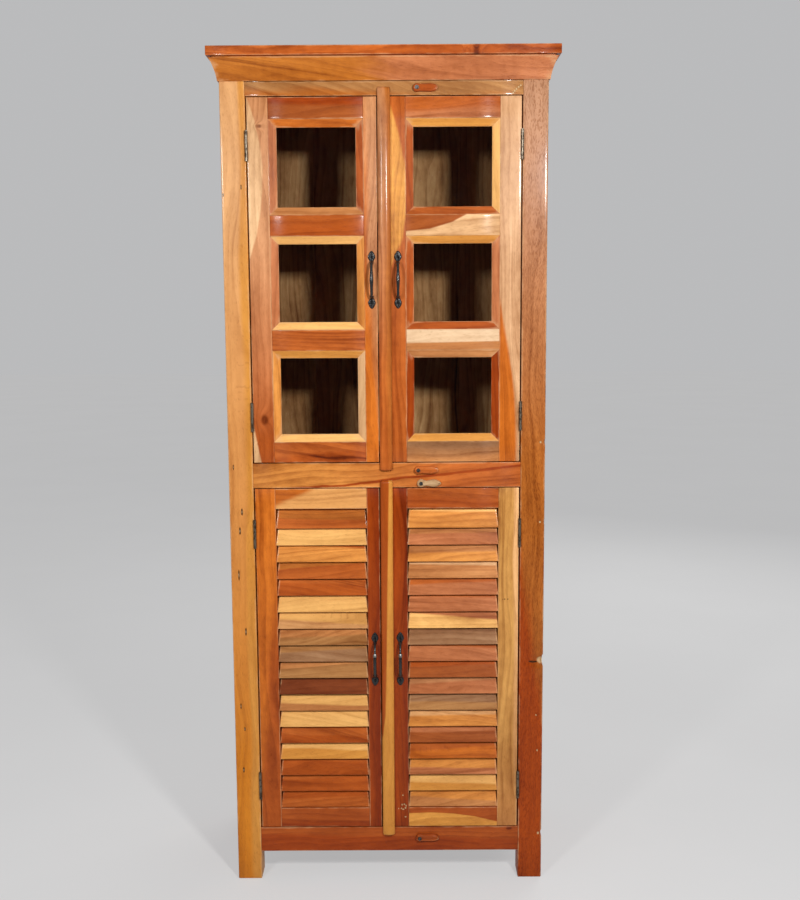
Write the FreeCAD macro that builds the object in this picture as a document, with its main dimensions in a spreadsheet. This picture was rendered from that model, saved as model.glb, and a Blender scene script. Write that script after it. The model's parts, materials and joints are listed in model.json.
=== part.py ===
"""Tall two-stage hardwood cabinet: glazed doors above, louvred doors below.

Millimetres, +Z up, front towards -Y, standing on Z = 0. Left and right are as seen from the front.
"""
import FreeCAD, Part
import os

# Driving dimensions, one cell each
DIMENSIONS = {
    # carcass
    "body_width": 712,
    "body_depth": 376,
    "post_size": 55,
    "foot_clearance": 68,
    "bottom_rail_height": 58,
    "lower_opening_height": 806,
    "middle_rail_height": 56,
    "upper_opening_height": 801,
    "top_rail_height": 81,
    "tenon_length": 30,
    "tenon_thickness": 10,
    "tenon_shoulder": 10,
    "side_rail_thickness": 24,
    "panel_thickness": 10,
    "groove_depth": 8,
    "back_rail_thickness": 22,
    "back_board_thickness": 10,
    "back_board_gap": 0.8,
    # top
    "slab_thickness": 20,
    "slab_overhang": 24,
    "cornice_height": 50,
    "cornice_top_reach": 19,
    "cornice_foot_reach": 3,
    "cornice_hollow": 2.5,
    # inside
    "shelf_thickness": 18,
    "shelf_clearance": 0.5,
    "lower_shelf_rise": 390,
    "floor_thickness": 20,
    "floor_rise": 8,
    "cleat_size": 20,
    "cleat_screw_inset": 6,
    "stop_depth": 12,
    "stop_height": 22,
    "stop_drop": 8,
    "stop_clearance": 0.5,
    # doors
    "door_thickness": 24,
    "door_gap": 2,
    "hinge_gap": 3,
    "stile_width": 46,
    "door_rail_height": 46,
    "meeting_reach": 46,
    "meeting_gap": 2,
    "door_tenon_length": 22,
    "door_tenon_thickness": 8,
    "door_tenon_shoulder": 6,
    # cover strips
    "strip_width": 28,
    "strip_thickness": 12,
    "strip_dome": 7,
    "strip_corner": 6,
    "strip_shift": 1,
    "strip_lap": 1,
    "strip_overlap": 17,
    # glazing
    "lip_width": 8,
    "lip_depth": 6,
    "glass_thickness": 4,
    "glass_clearance": 1,
    "bead_width": 17,
    "bead_setback": 1,
    "bead_nose": 4,
    # louvres
    "slat_thickness": 7,
    "slat_angle": 17,
    "slat_overlap": 6,
    "slat_setback": 1,
    "slat_housing": 8,
    # hinges
    "hinge_length": 63.5,
    "hinge_inset": 71,
    "leaf_thickness": 1.3,
    "leaf_width": 20,
    "barrel_radius": 3.3,
    "barrel_stand": 3.6,
    "knuckle_gap": 0.3,
    "pin_radius": 1.5,
    "pin_clearance": 0.05,
    "pin_head_radius": 2.6,
    "pin_head_height": 1.2,
    # handles
    "handle_length": 126,
    "handle_reach": 30,
    "handle_offset": 29,
    "upper_handle_height": 1395,
    "lower_handle_height": 533,
    "grip_span": 78,
    "grip_radius": 3.4,
    "plate_thickness": 3,
    "plate_width": 17,
    "plate_neck": 8,
    "plate_tip": 4,
    "plate_inset": 5,
    "plate_widest": 50,
    # turn buttons
    "button_offset": 71,
    "pale_button_offset": 77,
    "button_edge_top": 15,
    "button_edge_middle": 16,
    "button_edge_pale": 10,
    "button_edge_bottom": 24,
    "button_head_radius": 9,
    "button_thickness": 9,
    "button_clearance": 0.4,
    "button_reach": 45,
    "button_widest": 30,
    "button_neck": 14,
    "button_width": 17,
    "button_tip": 9,
    "button_waist": 11,
    "button_waist_at": 13,
    "button_point": 4,
    "button_bore_clearance": 0.1,
    # screws and nails
    "screw_radius": 1.7,
    "screw_head_radius": 3.2,
    "screw_length": 16,
    "cleat_screw_radius": 2,
    "cleat_screw_head_radius": 4,
    "cleat_screw_head_height": 2.4,
    "cleat_screw_bite": 22,
    "nail_radius": 1.2,
    "nail_head_radius": 2.6,
    "nail_head_height": 1,
    "nail_bite": 9,
    "button_screw_radius": 2,
    "button_screw_head_radius": 4.2,
    "button_screw_head_height": 2.4,
    "button_screw_bite": 16,
}

# Counts
BACK_BOARDS = 5
PANES = 3
SLATS = 18
KNUCKLES = 5
LEAF_SCREWS = 3

# How far a cutting shape runs past the face that it trims
MARGIN = 1

LEFT = -1
RIGHT = 1

doc = FreeCAD.newDocument("cabinet")
sheet = doc.addObject("Spreadsheet::Sheet", "dims")
for row, (alias, number) in enumerate(DIMENSIONS.items(), start=1):
    sheet.set(f"A{row}", alias)
    sheet.set(f"B{row}", str(number))
    sheet.setAlias(f"B{row}", alias)
doc.recompute()

nodes = {}


def text_of(value):
    """The value as expression text."""
    return value.text if isinstance(value, Size) else f"({value})"


class Size:
    """A size worked out from the sheet, kept as an expression so that it follows the sheet."""

    def __init__(self, text):
        self.text = text

    def __add__(self, other):
        return Size(f"({self.text} + {text_of(other)})")

    def __radd__(self, other):
        return Size(f"({text_of(other)} + {self.text})")

    def __sub__(self, other):
        return Size(f"({self.text} - {text_of(other)})")

    def __rsub__(self, other):
        return Size(f"({text_of(other)} - {self.text})")

    def __mul__(self, other):
        return Size(f"({self.text} * {text_of(other)})")

    def __rmul__(self, other):
        return Size(f"({text_of(other)} * {self.text})")

    def __truediv__(self, other):
        return Size(f"({self.text} / {text_of(other)})")

    def __neg__(self):
        return Size(f"(0 - {self.text})")


class Dims:
    """Gives each cell of the sheet as a size."""

    def __getattr__(self, alias):
        if alias not in DIMENSIONS:
            raise AttributeError(alias)
        return Size(f"dims.{alias}")


def root(value):
    return Size(f"sqrt({value.text})")


def sine(value):
    return Size(f"sin({value.text})")


def cosine(value):
    return Size(f"cos({value.text})")


d = Dims()

# Directions as rotations of a solid's own Z axis
AXIS = {
    "+x": FreeCAD.Rotation(FreeCAD.Vector(0, 1, 0), 90),
    "-x": FreeCAD.Rotation(FreeCAD.Vector(0, 1, 0), -90),
    "+y": FreeCAD.Rotation(FreeCAD.Vector(1, 0, 0), -90),
    "+z": FreeCAD.Rotation(),
}

# A wedge's own Z turned to the front, its own Y turned outwards in the plane of the front
FACING = FreeCAD.Rotation(FreeCAD.Vector(1, 0, 0), 90)
TURN = FreeCAD.Vector(0, 1, 0)
UPWARD = FACING
DOWNWARD = FreeCAD.Rotation(TURN, 180).multiply(FACING)
TO_RIGHT = FreeCAD.Rotation(TURN, 90).multiply(FACING)
TO_LEFT = FreeCAD.Rotation(TURN, -90).multiply(FACING)


def bind(thing, prop, value):
    thing.setExpression(prop, text_of(value))


def place(solid, at, rotation=None):
    """Puts a solid's own origin at a point, turned by a rotation."""
    if rotation is not None:
        solid.Placement = FreeCAD.Placement(FreeCAD.Vector(), rotation)
    for letter, value in zip("xyz", at):
        bind(solid, f"Placement.Base.{letter}", value)
    return solid


def box(name, x, y, z):
    """A block between the low and high value on each axis."""
    solid = doc.addObject("Part::Box", name)
    for prop, (low, high) in zip(("Length", "Width", "Height"), (x, y, z)):
        bind(solid, prop, high - low)
    return place(solid, (x[0], y[0], z[0]))


def cylinder(name, radius, length, at, axis):
    solid = doc.addObject("Part::Cylinder", name)
    bind(solid, "Radius", radius)
    bind(solid, "Height", length)
    return place(solid, at, AXIS[axis])


def cone(name, radius_low, radius_high, length, at, axis):
    solid = doc.addObject("Part::Cone", name)
    bind(solid, "Radius1", radius_low)
    bind(solid, "Radius2", radius_high)
    bind(solid, "Height", length)
    return place(solid, at, AXIS[axis])


def wedge(name, run, x_start, x_end, z_start, z_end, at, rotation):
    """A block along its own Y whose width (X) and depth (Z) change evenly from start to end."""
    solid = doc.addObject("Part::Wedge", name)
    spans = {"Y{}": run, "X{}": x_start, "X2{}": x_end, "Z{}": z_start, "Z2{}": z_end}
    for prop, (low, high) in spans.items():
        bind(solid, prop.format("min"), low)
        bind(solid, prop.format("max"), high)
    return place(solid, at, rotation)


def together(name, solids):
    group = doc.addObject("Part::Compound", name)
    group.Links = solids
    return group


def fuse(name, solids):
    joined = doc.addObject("Part::MultiFuse", name)
    joined.Shapes = solids
    joined.Refine = True
    return joined


def common(name, base, tool):
    shared = doc.addObject("Part::Common", name)
    shared.Base = base
    shared.Tool = tool
    return shared


def cut(name, base, *tools):
    """Takes each tool away from the base in turn."""
    for tool in tools:
        rest = doc.addObject("Part::Cut", name)
        rest.Base = base
        rest.Tool = tool
        base = rest
    return base


def node(name, solid):
    """Names a finished sub-part."""
    solid.Label = name
    nodes[name] = solid
    return solid


def group_node(name, solids):
    return node(name, together(name, solids))


def either_side(side, near, far):
    """The X span between two distances from the middle, on one side."""
    return (near, far) if side == RIGHT else (-far, -near)


def grown(span, amount):
    return (span[0] - amount, span[1] + amount)


def shrunk(span, amount):
    return (span[0] + amount, span[1] - amount)


def middle(span):
    return (span[0] + span[1]) / 2


def screw(name, start, axis, length, radius, head_radius, head_height):
    """A countersunk screw: its head is flush with the start and it runs along the axis."""
    head = cone(name + "_head", head_radius, radius, head_height, start, axis)
    shank = cylinder(name + "_shank", radius, length, start, axis)
    return fuse(name, [head, shank])


def blade(name, stations, thickness, at, rotation):
    """Wedges end to end through (distance, width) stations, as a flat tapering plate."""
    pieces = []
    for (from_run, from_width), (to_run, to_width) in zip(stations, stations[1:]):
        depth = (Size("0"), thickness)
        start = (-from_width / 2, from_width / 2)
        end = (-to_width / 2, to_width / 2)
        pieces.append(wedge(name, (from_run, to_run), start, end, depth, depth, at, rotation))
    return pieces


# Planes and levels that several pieces share
half_body = d.body_width / 2
half_inner = half_body - d.post_size
front = (d.handle_reach - d.body_depth) / 2
back = front + d.body_depth
door_back = front + d.door_thickness
rail_back = door_back + d.stop_clearance
board_front = back - d.back_rail_thickness - d.back_board_thickness
side_front = front + d.post_size
side_back = back - d.post_size

bottom_rail = (d.foot_clearance, d.foot_clearance + d.bottom_rail_height)
middle_rail_low = bottom_rail[1] + d.lower_opening_height
middle_rail = (middle_rail_low, middle_rail_low + d.middle_rail_height)
top_rail_low = middle_rail[1] + d.upper_opening_height
top_rail = (top_rail_low, top_rail_low + d.top_rail_height)
post_top = top_rail[1]
rail_levels = {"bottom": bottom_rail, "middle": middle_rail, "top": top_rail}

upper_door = shrunk((middle_rail[1], top_rail[0]), d.door_gap)
lower_door = shrunk((bottom_rail[1], middle_rail[0]), d.door_gap)
hinge_edge = half_inner - d.hinge_gap
pane_far = hinge_edge - d.stile_width
pane_near = d.meeting_reach
strip_middle = -d.strip_shift
strip_span = grown((strip_middle, strip_middle), d.strip_width / 2)
meeting_edge = {LEFT: strip_span[0] - d.meeting_gap, RIGHT: strip_span[0] + d.strip_lap}

# Upper doors divide into equal panes between their rails
pane_height = (upper_door[1] - upper_door[0] - (PANES + 1) * d.door_rail_height) / PANES
pane_pitch = pane_height + d.door_rail_height
upper_rails = []
upper_panes = []
for index in range(PANES + 1):
    rail_low = upper_door[0] + index * pane_pitch
    rail_high = rail_low + d.door_rail_height
    upper_rails.append((rail_low, rail_high))
    if index < PANES:
        upper_panes.append((rail_high, rail_high + pane_height))
lower_rails = [
    (lower_door[0], lower_door[0] + d.door_rail_height),
    (lower_door[1] - d.door_rail_height, lower_door[1]),
]


def tenoned_rail(name, x, y, z, along, length, thickness, shoulder):
    """A rail with a tenon at each end, along X or along Y."""
    body = box(name + "_body", x, y, z)
    tenon_z = shrunk(z, shoulder)
    if along == "x":
        slim = grown((middle(y), middle(y)), thickness / 2)
        tenons = box(name + "_tenons", grown(x, length), slim, tenon_z)
    else:
        slim = grown((middle(x), middle(x)), thickness / 2)
        tenons = box(name + "_tenons", slim, grown(y, length), tenon_z)
    return fuse(name, [body, tenons])


def frame_rail(name, x, y, z, along):
    return tenoned_rail(name, x, y, z, along, d.tenon_length, d.tenon_thickness, d.tenon_shoulder)


# Hinges: a leaf on the post, a leaf on the door edge and a loose-fitting pin
def hinge_axis(side):
    near = half_inner - d.hinge_gap / 2
    return near if side == RIGHT else -near


def hinge_leaf(name, side, span, low, own_knuckles, screws):
    """A flat leaf in the gap beside the door, with its share of the knuckles."""
    x = either_side(side, *span)
    axis_y = front - d.barrel_stand
    high = low + d.hinge_length
    pitch = d.hinge_length / KNUCKLES
    pieces = [box(name + "_plate", x, (front, front + d.leaf_width), (low, high))]
    for index in own_knuckles:
        z = shrunk((low + index * pitch, low + (index + 1) * pitch), d.knuckle_gap / 2)
        pieces.append(box(name + "_neck", x, (axis_y, front), z))
        centre = (hinge_axis(side), axis_y, z[0])
        pieces.append(cylinder(name + "_knuckle", d.barrel_radius, z[1] - z[0], centre, "+z"))
    bore_radius = d.pin_radius + d.pin_clearance
    bore = cylinder(name + "_bore", bore_radius, d.hinge_length, (hinge_axis(side), axis_y, low), "+z")
    return cut(name, fuse(name + "_solid", pieces), bore, together(name + "_holes", screws))


def hinge_screws(name, side, distance, outward, low):
    """Countersunk screws through a leaf, outwards into the post or inwards into the door."""
    x = distance if side == RIGHT else -distance
    axis = "+x" if (side == RIGHT) == outward else "-x"
    screws = []
    for index in range(LEAF_SCREWS):
        z = low + d.hinge_length * (2 * index + 1) / (2 * LEAF_SCREWS)
        start = (x, front + d.leaf_width / 2, z)
        screws.append(screw(name, start, axis, d.screw_length, d.screw_radius,
                            d.screw_head_radius, d.leaf_thickness))
    return screws


def hinge_pin(name, side, low):
    at_y = front - d.barrel_stand
    x = hinge_axis(side)
    high = low + d.hinge_length
    shank = cylinder(name + "_shank", d.pin_radius, d.hinge_length, (x, at_y, low), "+z")
    foot = cylinder(name + "_foot", d.pin_head_radius, d.pin_head_height,
                    (x, at_y, low - d.pin_head_height), "+z")
    head = cylinder(name + "_cap", d.pin_head_radius, d.pin_head_height, (x, at_y, high), "+z")
    return fuse(name, [shank, foot, head])


def hinge_levels(door):
    return [door[0] + d.hinge_inset, door[1] - d.hinge_inset - d.hinge_length]


frame_leaves = []
frame_leaf_screws = {LEFT: [], RIGHT: []}
pins = []
door_leaves = {}
door_leaf_screws = {}
FRAME_KNUCKLES = range(0, KNUCKLES, 2)
DOOR_KNUCKLES = range(1, KNUCKLES, 2)
for door_name, door_span in (("upper", upper_door), ("lower", lower_door)):
    for side in (LEFT, RIGHT):
        door_leaves[door_name, side] = []
        door_leaf_screws[door_name, side] = []
        for low in hinge_levels(door_span):
            post_face = half_inner - d.leaf_thickness
            into_post = hinge_screws("post_leaf_screw", side, post_face, True, low)
            span = (post_face, half_inner)
            frame_leaves.append(hinge_leaf("frame_leaf", side, span, low, FRAME_KNUCKLES, into_post))
            frame_leaf_screws[side] += into_post
            pins.append(hinge_pin("pin", side, low))
            leaf_face = hinge_edge + d.leaf_thickness
            into_door = hinge_screws("door_leaf_screw", side, leaf_face, False, low)
            span = (hinge_edge, leaf_face)
            leaf = hinge_leaf("door_leaf", side, span, low, DOOR_KNUCKLES, into_door)
            door_leaves[door_name, side].append(leaf)
            door_leaf_screws[door_name, side] += into_door

# Rails of the carcass
inner_span = (-half_inner, half_inner)
rail_depth = (front, rail_back)
front_rails = {}
back_rails = []
side_rails = {LEFT: [], RIGHT: []}
for level, z in rail_levels.items():
    front_rails[level] = frame_rail(f"front_{level}", inner_span, rail_depth, z, "x")
    back_depth = (back - d.back_rail_thickness, back)
    back_rails.append(frame_rail(f"back_{level}", inner_span, back_depth, z, "x"))
    for side in (LEFT, RIGHT):
        x = either_side(side, half_inner, half_inner + d.side_rail_thickness)
        side_rails[side].append(frame_rail(f"side_{level}", x, (side_front, side_back), z, "y"))

# Side panels in grooves of the posts and side rails
panels = {LEFT: [], RIGHT: []}
panel_middle = half_inner + d.side_rail_thickness / 2
panel_span = grown((panel_middle, panel_middle), d.panel_thickness / 2)
for side in (LEFT, RIGHT):
    for low_rail, high_rail in (("bottom", "middle"), ("middle", "top")):
        z = grown((rail_levels[low_rail][1], rail_levels[high_rail][0]), d.groove_depth)
        y = grown((side_front, side_back), d.groove_depth)
        panels[side].append(box("side_panel", either_side(side, *panel_span), y, z))

# Shelves, floors and the cleats that carry them
floor_lower_top = bottom_rail[1] + d.floor_rise
floor_middle_top = middle_rail[1] + d.floor_rise
shelf_tops = [floor_lower_top + d.lower_shelf_rise]
for rail in upper_rails[1:PANES]:
    shelf_tops.append(middle(rail) + d.shelf_thickness / 2)
floor_tops = [floor_lower_top, floor_middle_top]
shelf_x = shrunk(inner_span, d.shelf_clearance)
cleat_front = rail_back + d.stop_depth

shelves = []
cleats = []
cleat_screws = {LEFT: [], RIGHT: []}


def carried_board(name, top, thickness, y_start):
    """A board between the posts on a cleat at each end, each cleat screwed to both posts."""
    under = top - thickness
    y = (cleat_front, board_front)
    z = (under - d.cleat_size, under)
    for side in (LEFT, RIGHT):
        x = either_side(side, half_inner - d.cleat_size, half_inner)
        start_x = x[0] if side == RIGHT else x[1]
        own_screws = []
        for screw_y in shrunk(y, d.cleat_screw_inset):
            start = (start_x, screw_y, middle(z))
            length = d.cleat_size + d.cleat_screw_bite
            axis = "+x" if side == RIGHT else "-x"
            own_screws.append(screw("cleat_screw", start, axis, length, d.cleat_screw_radius,
                                    d.cleat_screw_head_radius, d.cleat_screw_head_height))
        cleat_screws[side] += own_screws
        blank = box("cleat_blank", x, y, z)
        cleats.append(cut("cleat", blank, together("cleat_holes", own_screws)))
    return box(name, shelf_x, (y_start, board_front), (under, top))


for top in shelf_tops:
    shelves.append(carried_board("shelf", top, d.shelf_thickness, cleat_front))
floors = [carried_board("floor", top, d.floor_thickness, rail_back) for top in floor_tops]

# Stops behind the rails above each pair of doors
stops = []
for low in (middle_rail[0], top_rail[0]):
    z = (low - d.stop_drop, low - d.stop_drop + d.stop_height)
    stops.append(box("door_stop", inner_span, (rail_back, rail_back + d.stop_depth), z))

# Back boards nailed to the back rails
board_width = (2 * half_inner + d.back_board_gap) / BACK_BOARDS - d.back_board_gap
board_depth = (board_front, board_front + d.back_board_thickness)
boards = []
nails = []
for index in range(BACK_BOARDS):
    x_low = -half_inner + index * (board_width + d.back_board_gap)
    own_nails = []
    for z in rail_levels.values():
        start = (x_low + board_width / 2, board_front, middle(z))
        length = d.back_board_thickness + d.nail_bite
        own_nails.append(screw("nail", start, "+y", length, d.nail_radius,
                               d.nail_head_radius, d.nail_head_height))
    blank = box("board_blank", (x_low, x_low + board_width), board_depth, (bottom_rail[0], post_top))
    boards.append(cut("board", blank, together("board_holes", own_nails)))
    nails += own_nails

# Turn buttons on the front rails, pointing aside, with the screw that each turns on
plain_stations = [(Size("0"), d.button_neck), (d.button_widest, d.button_width),
                  (d.button_reach, d.button_tip)]
leaf_stations = [(Size("0"), d.button_neck), (d.button_waist_at, d.button_waist),
                 (d.button_widest, d.button_width), (d.button_reach, d.button_point)]
buttons = {
    "upper_top_button": (d.button_offset, top_rail[0] + d.button_edge_top, plain_stations, "top"),
    "upper_bottom_button":
        (d.button_offset, middle_rail[1] - d.button_edge_middle, plain_stations, "middle"),
    "lower_top_button":
        (d.pale_button_offset, middle_rail[0] + d.button_edge_pale, leaf_stations, "middle"),
    "lower_bottom_button":
        (d.button_offset, bottom_rail[1] - d.button_edge_bottom, plain_stations, "bottom"),
}
button_screws = {"top": [], "middle": [], "bottom": []}
button_back = front - d.button_clearance
button_face = button_back - d.button_thickness
for name, (x, z, stations, level) in buttons.items():
    head = cylinder(name + "_head", d.button_head_radius, d.button_thickness, (x, button_face, z), "+y")
    arm = blade(name + "_arm", stations, d.button_thickness, (x, button_back, z), TO_RIGHT)
    bore = cylinder(name + "_bore", d.button_screw_radius + d.button_bore_clearance,
                    d.button_thickness, (x, button_face, z), "+y")
    node(name, cut(name, fuse(name + "_solid", [head] + arm), bore))
    head_y = button_face - d.button_clearance - d.button_screw_head_height
    shank_length = rail_back - d.door_thickness + d.button_screw_bite - head_y
    screw_head = cylinder("button_screw_head", d.button_screw_head_radius,
                          d.button_screw_head_height, (x, head_y, z), "+y")
    shank = cylinder("button_screw_shank", d.button_screw_radius, shank_length, (x, head_y, z), "+y")
    button_screws[level].append(fuse("button_screw", [screw_head, shank]))

# Carcass nodes
for level, rail in front_rails.items():
    holes = together(f"rail_{level}_holes", button_screws[level])
    node(f"rail_front_{level}", cut(f"rail_front_{level}", rail, holes))
back_holes = together("back_rail_holes", nails)
group_node("rails_back", [cut("back_rail", rail, back_holes) for rail in back_rails])

finished_side_rails = []
across = {
    "front": together("front_tenons", list(front_rails.values())),
    "rear": together("rear_tenons", back_rails),
}
depth = {"front": (front, side_front), "rear": (side_back, back)}
for side, side_name in ((LEFT, "left"), (RIGHT, "right")):
    grooves = together(f"{side_name}_grooves", panels[side])
    drilled = together(f"{side_name}_cleat_holes", cleat_screws[side])
    rail_group = together(f"{side_name}_side_tenons", side_rails[side])
    for rail in side_rails[side]:
        finished_side_rails.append(cut("side_rail", rail, grooves, drilled))
    for end in ("front", "rear"):
        name = f"post_{end}_{side_name}"
        x = either_side(side, half_inner, half_body)
        blank = box(name + "_blank", x, depth[end], (Size("0"), post_top))
        tools = [across[end], rail_group, grooves, drilled]
        if end == "front":
            tools.append(together(name + "_hinge_holes", frame_leaf_screws[side]))
        node(name, cut(name, blank, *tools))
group_node("side_rails", finished_side_rails)
group_node("side_panels", panels[LEFT] + panels[RIGHT])
group_node("back_boards", boards)
group_node("shelves", shelves)
group_node("floors", floors)
group_node("shelf_cleats", cleats)
group_node("door_stops", stops)
group_node("carcass_screws", cleat_screws[LEFT] + cleat_screws[RIGHT] + nails)
group_node("hinge_frame_leaves", frame_leaves)
group_node("hinge_pins", pins)
group_node("hinge_frame_screws", frame_leaf_screws[LEFT] + frame_leaf_screws[RIGHT])
group_node("button_screws", [one for level in button_screws.values() for one in level])

# Top board and the hollow moulding under it
slab_x = grown((-half_body, half_body), d.slab_overhang)
slab_y = (front - d.slab_overhang, back)
node("top_board", box("top_board", slab_x, slab_y, (post_top, post_top + d.slab_thickness)))

reach = d.cornice_top_reach
lean = reach - d.cornice_foot_reach
chord = root(lean * lean + d.cornice_height * d.cornice_height)
hollow_radius = (chord * chord / 4 + d.cornice_hollow * d.cornice_hollow) / (2 * d.cornice_hollow)
from_chord = hollow_radius - d.cornice_hollow
hollow_out = (reach + d.cornice_foot_reach) / 2 + from_chord * d.cornice_height / chord
cornice_low = post_top - d.cornice_height
hollow_z = (cornice_low + post_top) / 2 - from_chord * lean / chord
cornice_z = (cornice_low, post_top)
height_span = (Size("0"), d.cornice_height)
reach_span = (Size("0"), reach)


def cornice_length(name, run_inner, run_outer, at, rotation, hollow):
    """A mitred length of moulding: a tapered block hollowed by a large cylinder."""
    block = wedge(name + "_block", reach_span, run_inner, run_outer, height_span, height_span, at, rotation)
    return cut(name, block, hollow)


UPSIDE_DOWN = FreeCAD.Rotation(FreeCAD.Vector(1, 0, 0), 180)
QUARTER_LEFT = FreeCAD.Rotation(FreeCAD.Vector(0, 0, 1), 90)
QUARTER_RIGHT = FreeCAD.Rotation(FreeCAD.Vector(0, 0, 1), -90)
body_span = (-half_body, half_body)
wide_span = grown(body_span, reach)
front_hollow = cylinder("front_hollow", hollow_radius, 2 * wide_span[1] + 2 * MARGIN,
                        (wide_span[0] - MARGIN, front - hollow_out, hollow_z), "+x")
node("cornice_front", cornice_length("cornice_front", body_span, wide_span,
                                     (Size("0"), front, post_top), UPSIDE_DOWN, front_hollow))
return_length = back - front + reach + 2 * MARGIN
side_hollow = {}
for side in (LEFT, RIGHT):
    x = side * (half_body + hollow_out)
    side_hollow[side] = cylinder("side_hollow", hollow_radius, return_length,
                                 (x, front - reach - MARGIN, hollow_z), "+y")
left_return = cornice_length("cornice_left", (front, back), (front - reach, back),
                             (-half_body, Size("0"), cornice_low), QUARTER_LEFT, side_hollow[LEFT])
right_return = cornice_length("cornice_right", (-back, -front), (-back, reach - front),
                              (half_body, Size("0"), cornice_low), QUARTER_RIGHT, side_hollow[RIGHT])
group_node("cornice_returns", [left_return, right_return])


# Doors
def handle(name, x, height):
    """A bowed iron pull: a leaf-shaped plate at each end and a round bowed grip between them."""
    stations = [(d.grip_span / 2 - d.plate_inset, d.plate_neck), (d.plate_widest, d.plate_width),
                (d.handle_length / 2, d.plate_tip)]
    at = (x, front, height)
    plates = []
    for rotation in (UPWARD, DOWNWARD):
        plates += blade(name + "_plate", stations, d.plate_thickness, at, rotation)
    foot_y = front - d.plate_thickness / 2
    rise = d.handle_reach - d.grip_radius - d.plate_thickness / 2
    bow_radius = (d.grip_span * d.grip_span / 4 + rise * rise) / (2 * rise)
    ring = doc.addObject("Part::Torus", name + "_ring")
    bind(ring, "Radius1", bow_radius)
    bind(ring, "Radius2", d.grip_radius)
    place(ring, (x, front - d.handle_reach + d.grip_radius + bow_radius, height), AXIS["+x"])
    keep_x = grown((x, x), d.grip_radius + MARGIN)
    keep_z = grown((height, height), bow_radius + d.grip_radius + MARGIN)
    keep = box(name + "_keep", keep_x, (front - d.handle_reach - MARGIN, foot_y), keep_z)
    grip = common(name + "_grip", ring, keep)
    screws = []
    for z in grown((height, height), d.plate_widest):
        start = (x, front - d.plate_thickness, z)
        screws.append(screw(name + "_screw", start, "+y", d.screw_length, d.screw_radius,
                            d.screw_head_radius, d.leaf_thickness))
    body = fuse(name + "_solid", plates + [grip])
    return cut(name, body, together(name + "_holes", screws)), screws


def door_rail(name, x, z):
    return tenoned_rail(name, x, (front, door_back), z, "x", d.door_tenon_length,
                        d.door_tenon_thickness, d.door_tenon_shoulder)


def stile_spans(side):
    """X spans of the hinge stile, the open field and the meeting stile of one door."""
    hinge = either_side(side, pane_far, hinge_edge)
    field = either_side(side, pane_near, pane_far)
    if side == RIGHT:
        meeting = (meeting_edge[RIGHT], pane_near)
    else:
        meeting = (-pane_near, meeting_edge[LEFT])
    return hinge, field, meeting


def finish_door(name, side, stage, stiles, rails, housed, handle_height):
    """Cuts the joints and screw holes of a door's stiles and names its common pieces."""
    handle_x = strip_middle + side * d.handle_offset
    pull, pull_screws = handle(name + "_pull", handle_x, handle_height)
    leaf_screws = door_leaf_screws[stage, side]
    tenons = together(name + "_tenons", rails)
    holes = {"hinge_stile": leaf_screws, "meeting_stile": pull_screws}
    for part_name, blank in stiles.items():
        drilled = together(f"{name}_{part_name}_holes", holes[part_name])
        full_name = f"{name}_{part_name}"
        node(full_name, cut(full_name, blank, tenons, *housed, drilled))
    group_node(f"{name}_rails", rails)
    node(f"{name}_handle", pull)
    group_node(f"{name}_hinge_leaves", door_leaves[stage, side])
    group_node(f"{name}_screws", leaf_screws + pull_screws)


def bead_frame(name, x, z, y):
    """Four mitred beads round a pane, thick at the frame and sloping to a thin nose on the glass."""
    centre = (middle(x), y[1], middle(z))
    half_x = (x[1] - x[0]) / 2
    half_z = (z[1] - z[0]) / 2
    thick = (Size("0"), y[1] - y[0])
    thin = (Size("0"), d.bead_nose)
    beads = []
    for rotation, half_run, half_away in (
        (UPWARD, half_x, half_z),
        (DOWNWARD, half_x, half_z),
        (TO_RIGHT, half_z, half_x),
        (TO_LEFT, half_z, half_x),
    ):
        run = (-half_away, d.bead_width - half_away)
        long_edge = (-half_run, half_run)
        short_edge = shrunk(long_edge, d.bead_width)
        beads.append(wedge(name, run, long_edge, short_edge, thick, thin, centre, rotation))
    return beads


def glazed_door(name, side):
    hinge_x, field, meeting_x = stile_spans(side)
    depth = (front, door_back)
    lip_depth = (door_back - d.lip_depth, door_back)
    glass_depth = (lip_depth[0] - d.glass_thickness, lip_depth[0])
    bead_depth = (front + d.bead_setback, glass_depth[0])

    rails = []
    for index, z in enumerate(upper_rails):
        low = z[0] if index == 0 else z[0] - d.lip_width
        high = z[1] if index == PANES else z[1] + d.lip_width
        lip = box(name + "_rail_lip", shrunk(field, d.lip_width), lip_depth, (low, high))
        rails.append(fuse(name + "_rail", [door_rail(name + "_bar", field, z), lip]))

    stiles = {}
    lip_x = {LEFT: (field[0], field[0] + d.lip_width), RIGHT: (field[1] - d.lip_width, field[1])}
    ends = {"hinge_stile": (hinge_x, side), "meeting_stile": (meeting_x, -side)}
    for part_name, (x, lip_side) in ends.items():
        pieces = [box(f"{name}_{part_name}_bar", x, depth, upper_door)]
        for pane in upper_panes:
            pieces.append(box(f"{name}_{part_name}_lip", lip_x[lip_side], lip_depth, pane))
        stiles[part_name] = fuse(f"{name}_{part_name}_blank", pieces)

    finish_door(name, side, "upper", stiles, rails, [], d.upper_handle_height)

    glass = []
    beads = []
    for pane in upper_panes:
        glass_x = shrunk(field, d.glass_clearance)
        glass.append(box(name + "_glass", glass_x, glass_depth, shrunk(pane, d.glass_clearance)))
        beads += bead_frame(name + "_bead", field, pane, bead_depth)
    group_node(f"{name}_glass", glass)
    group_node(f"{name}_beads", beads)


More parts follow.
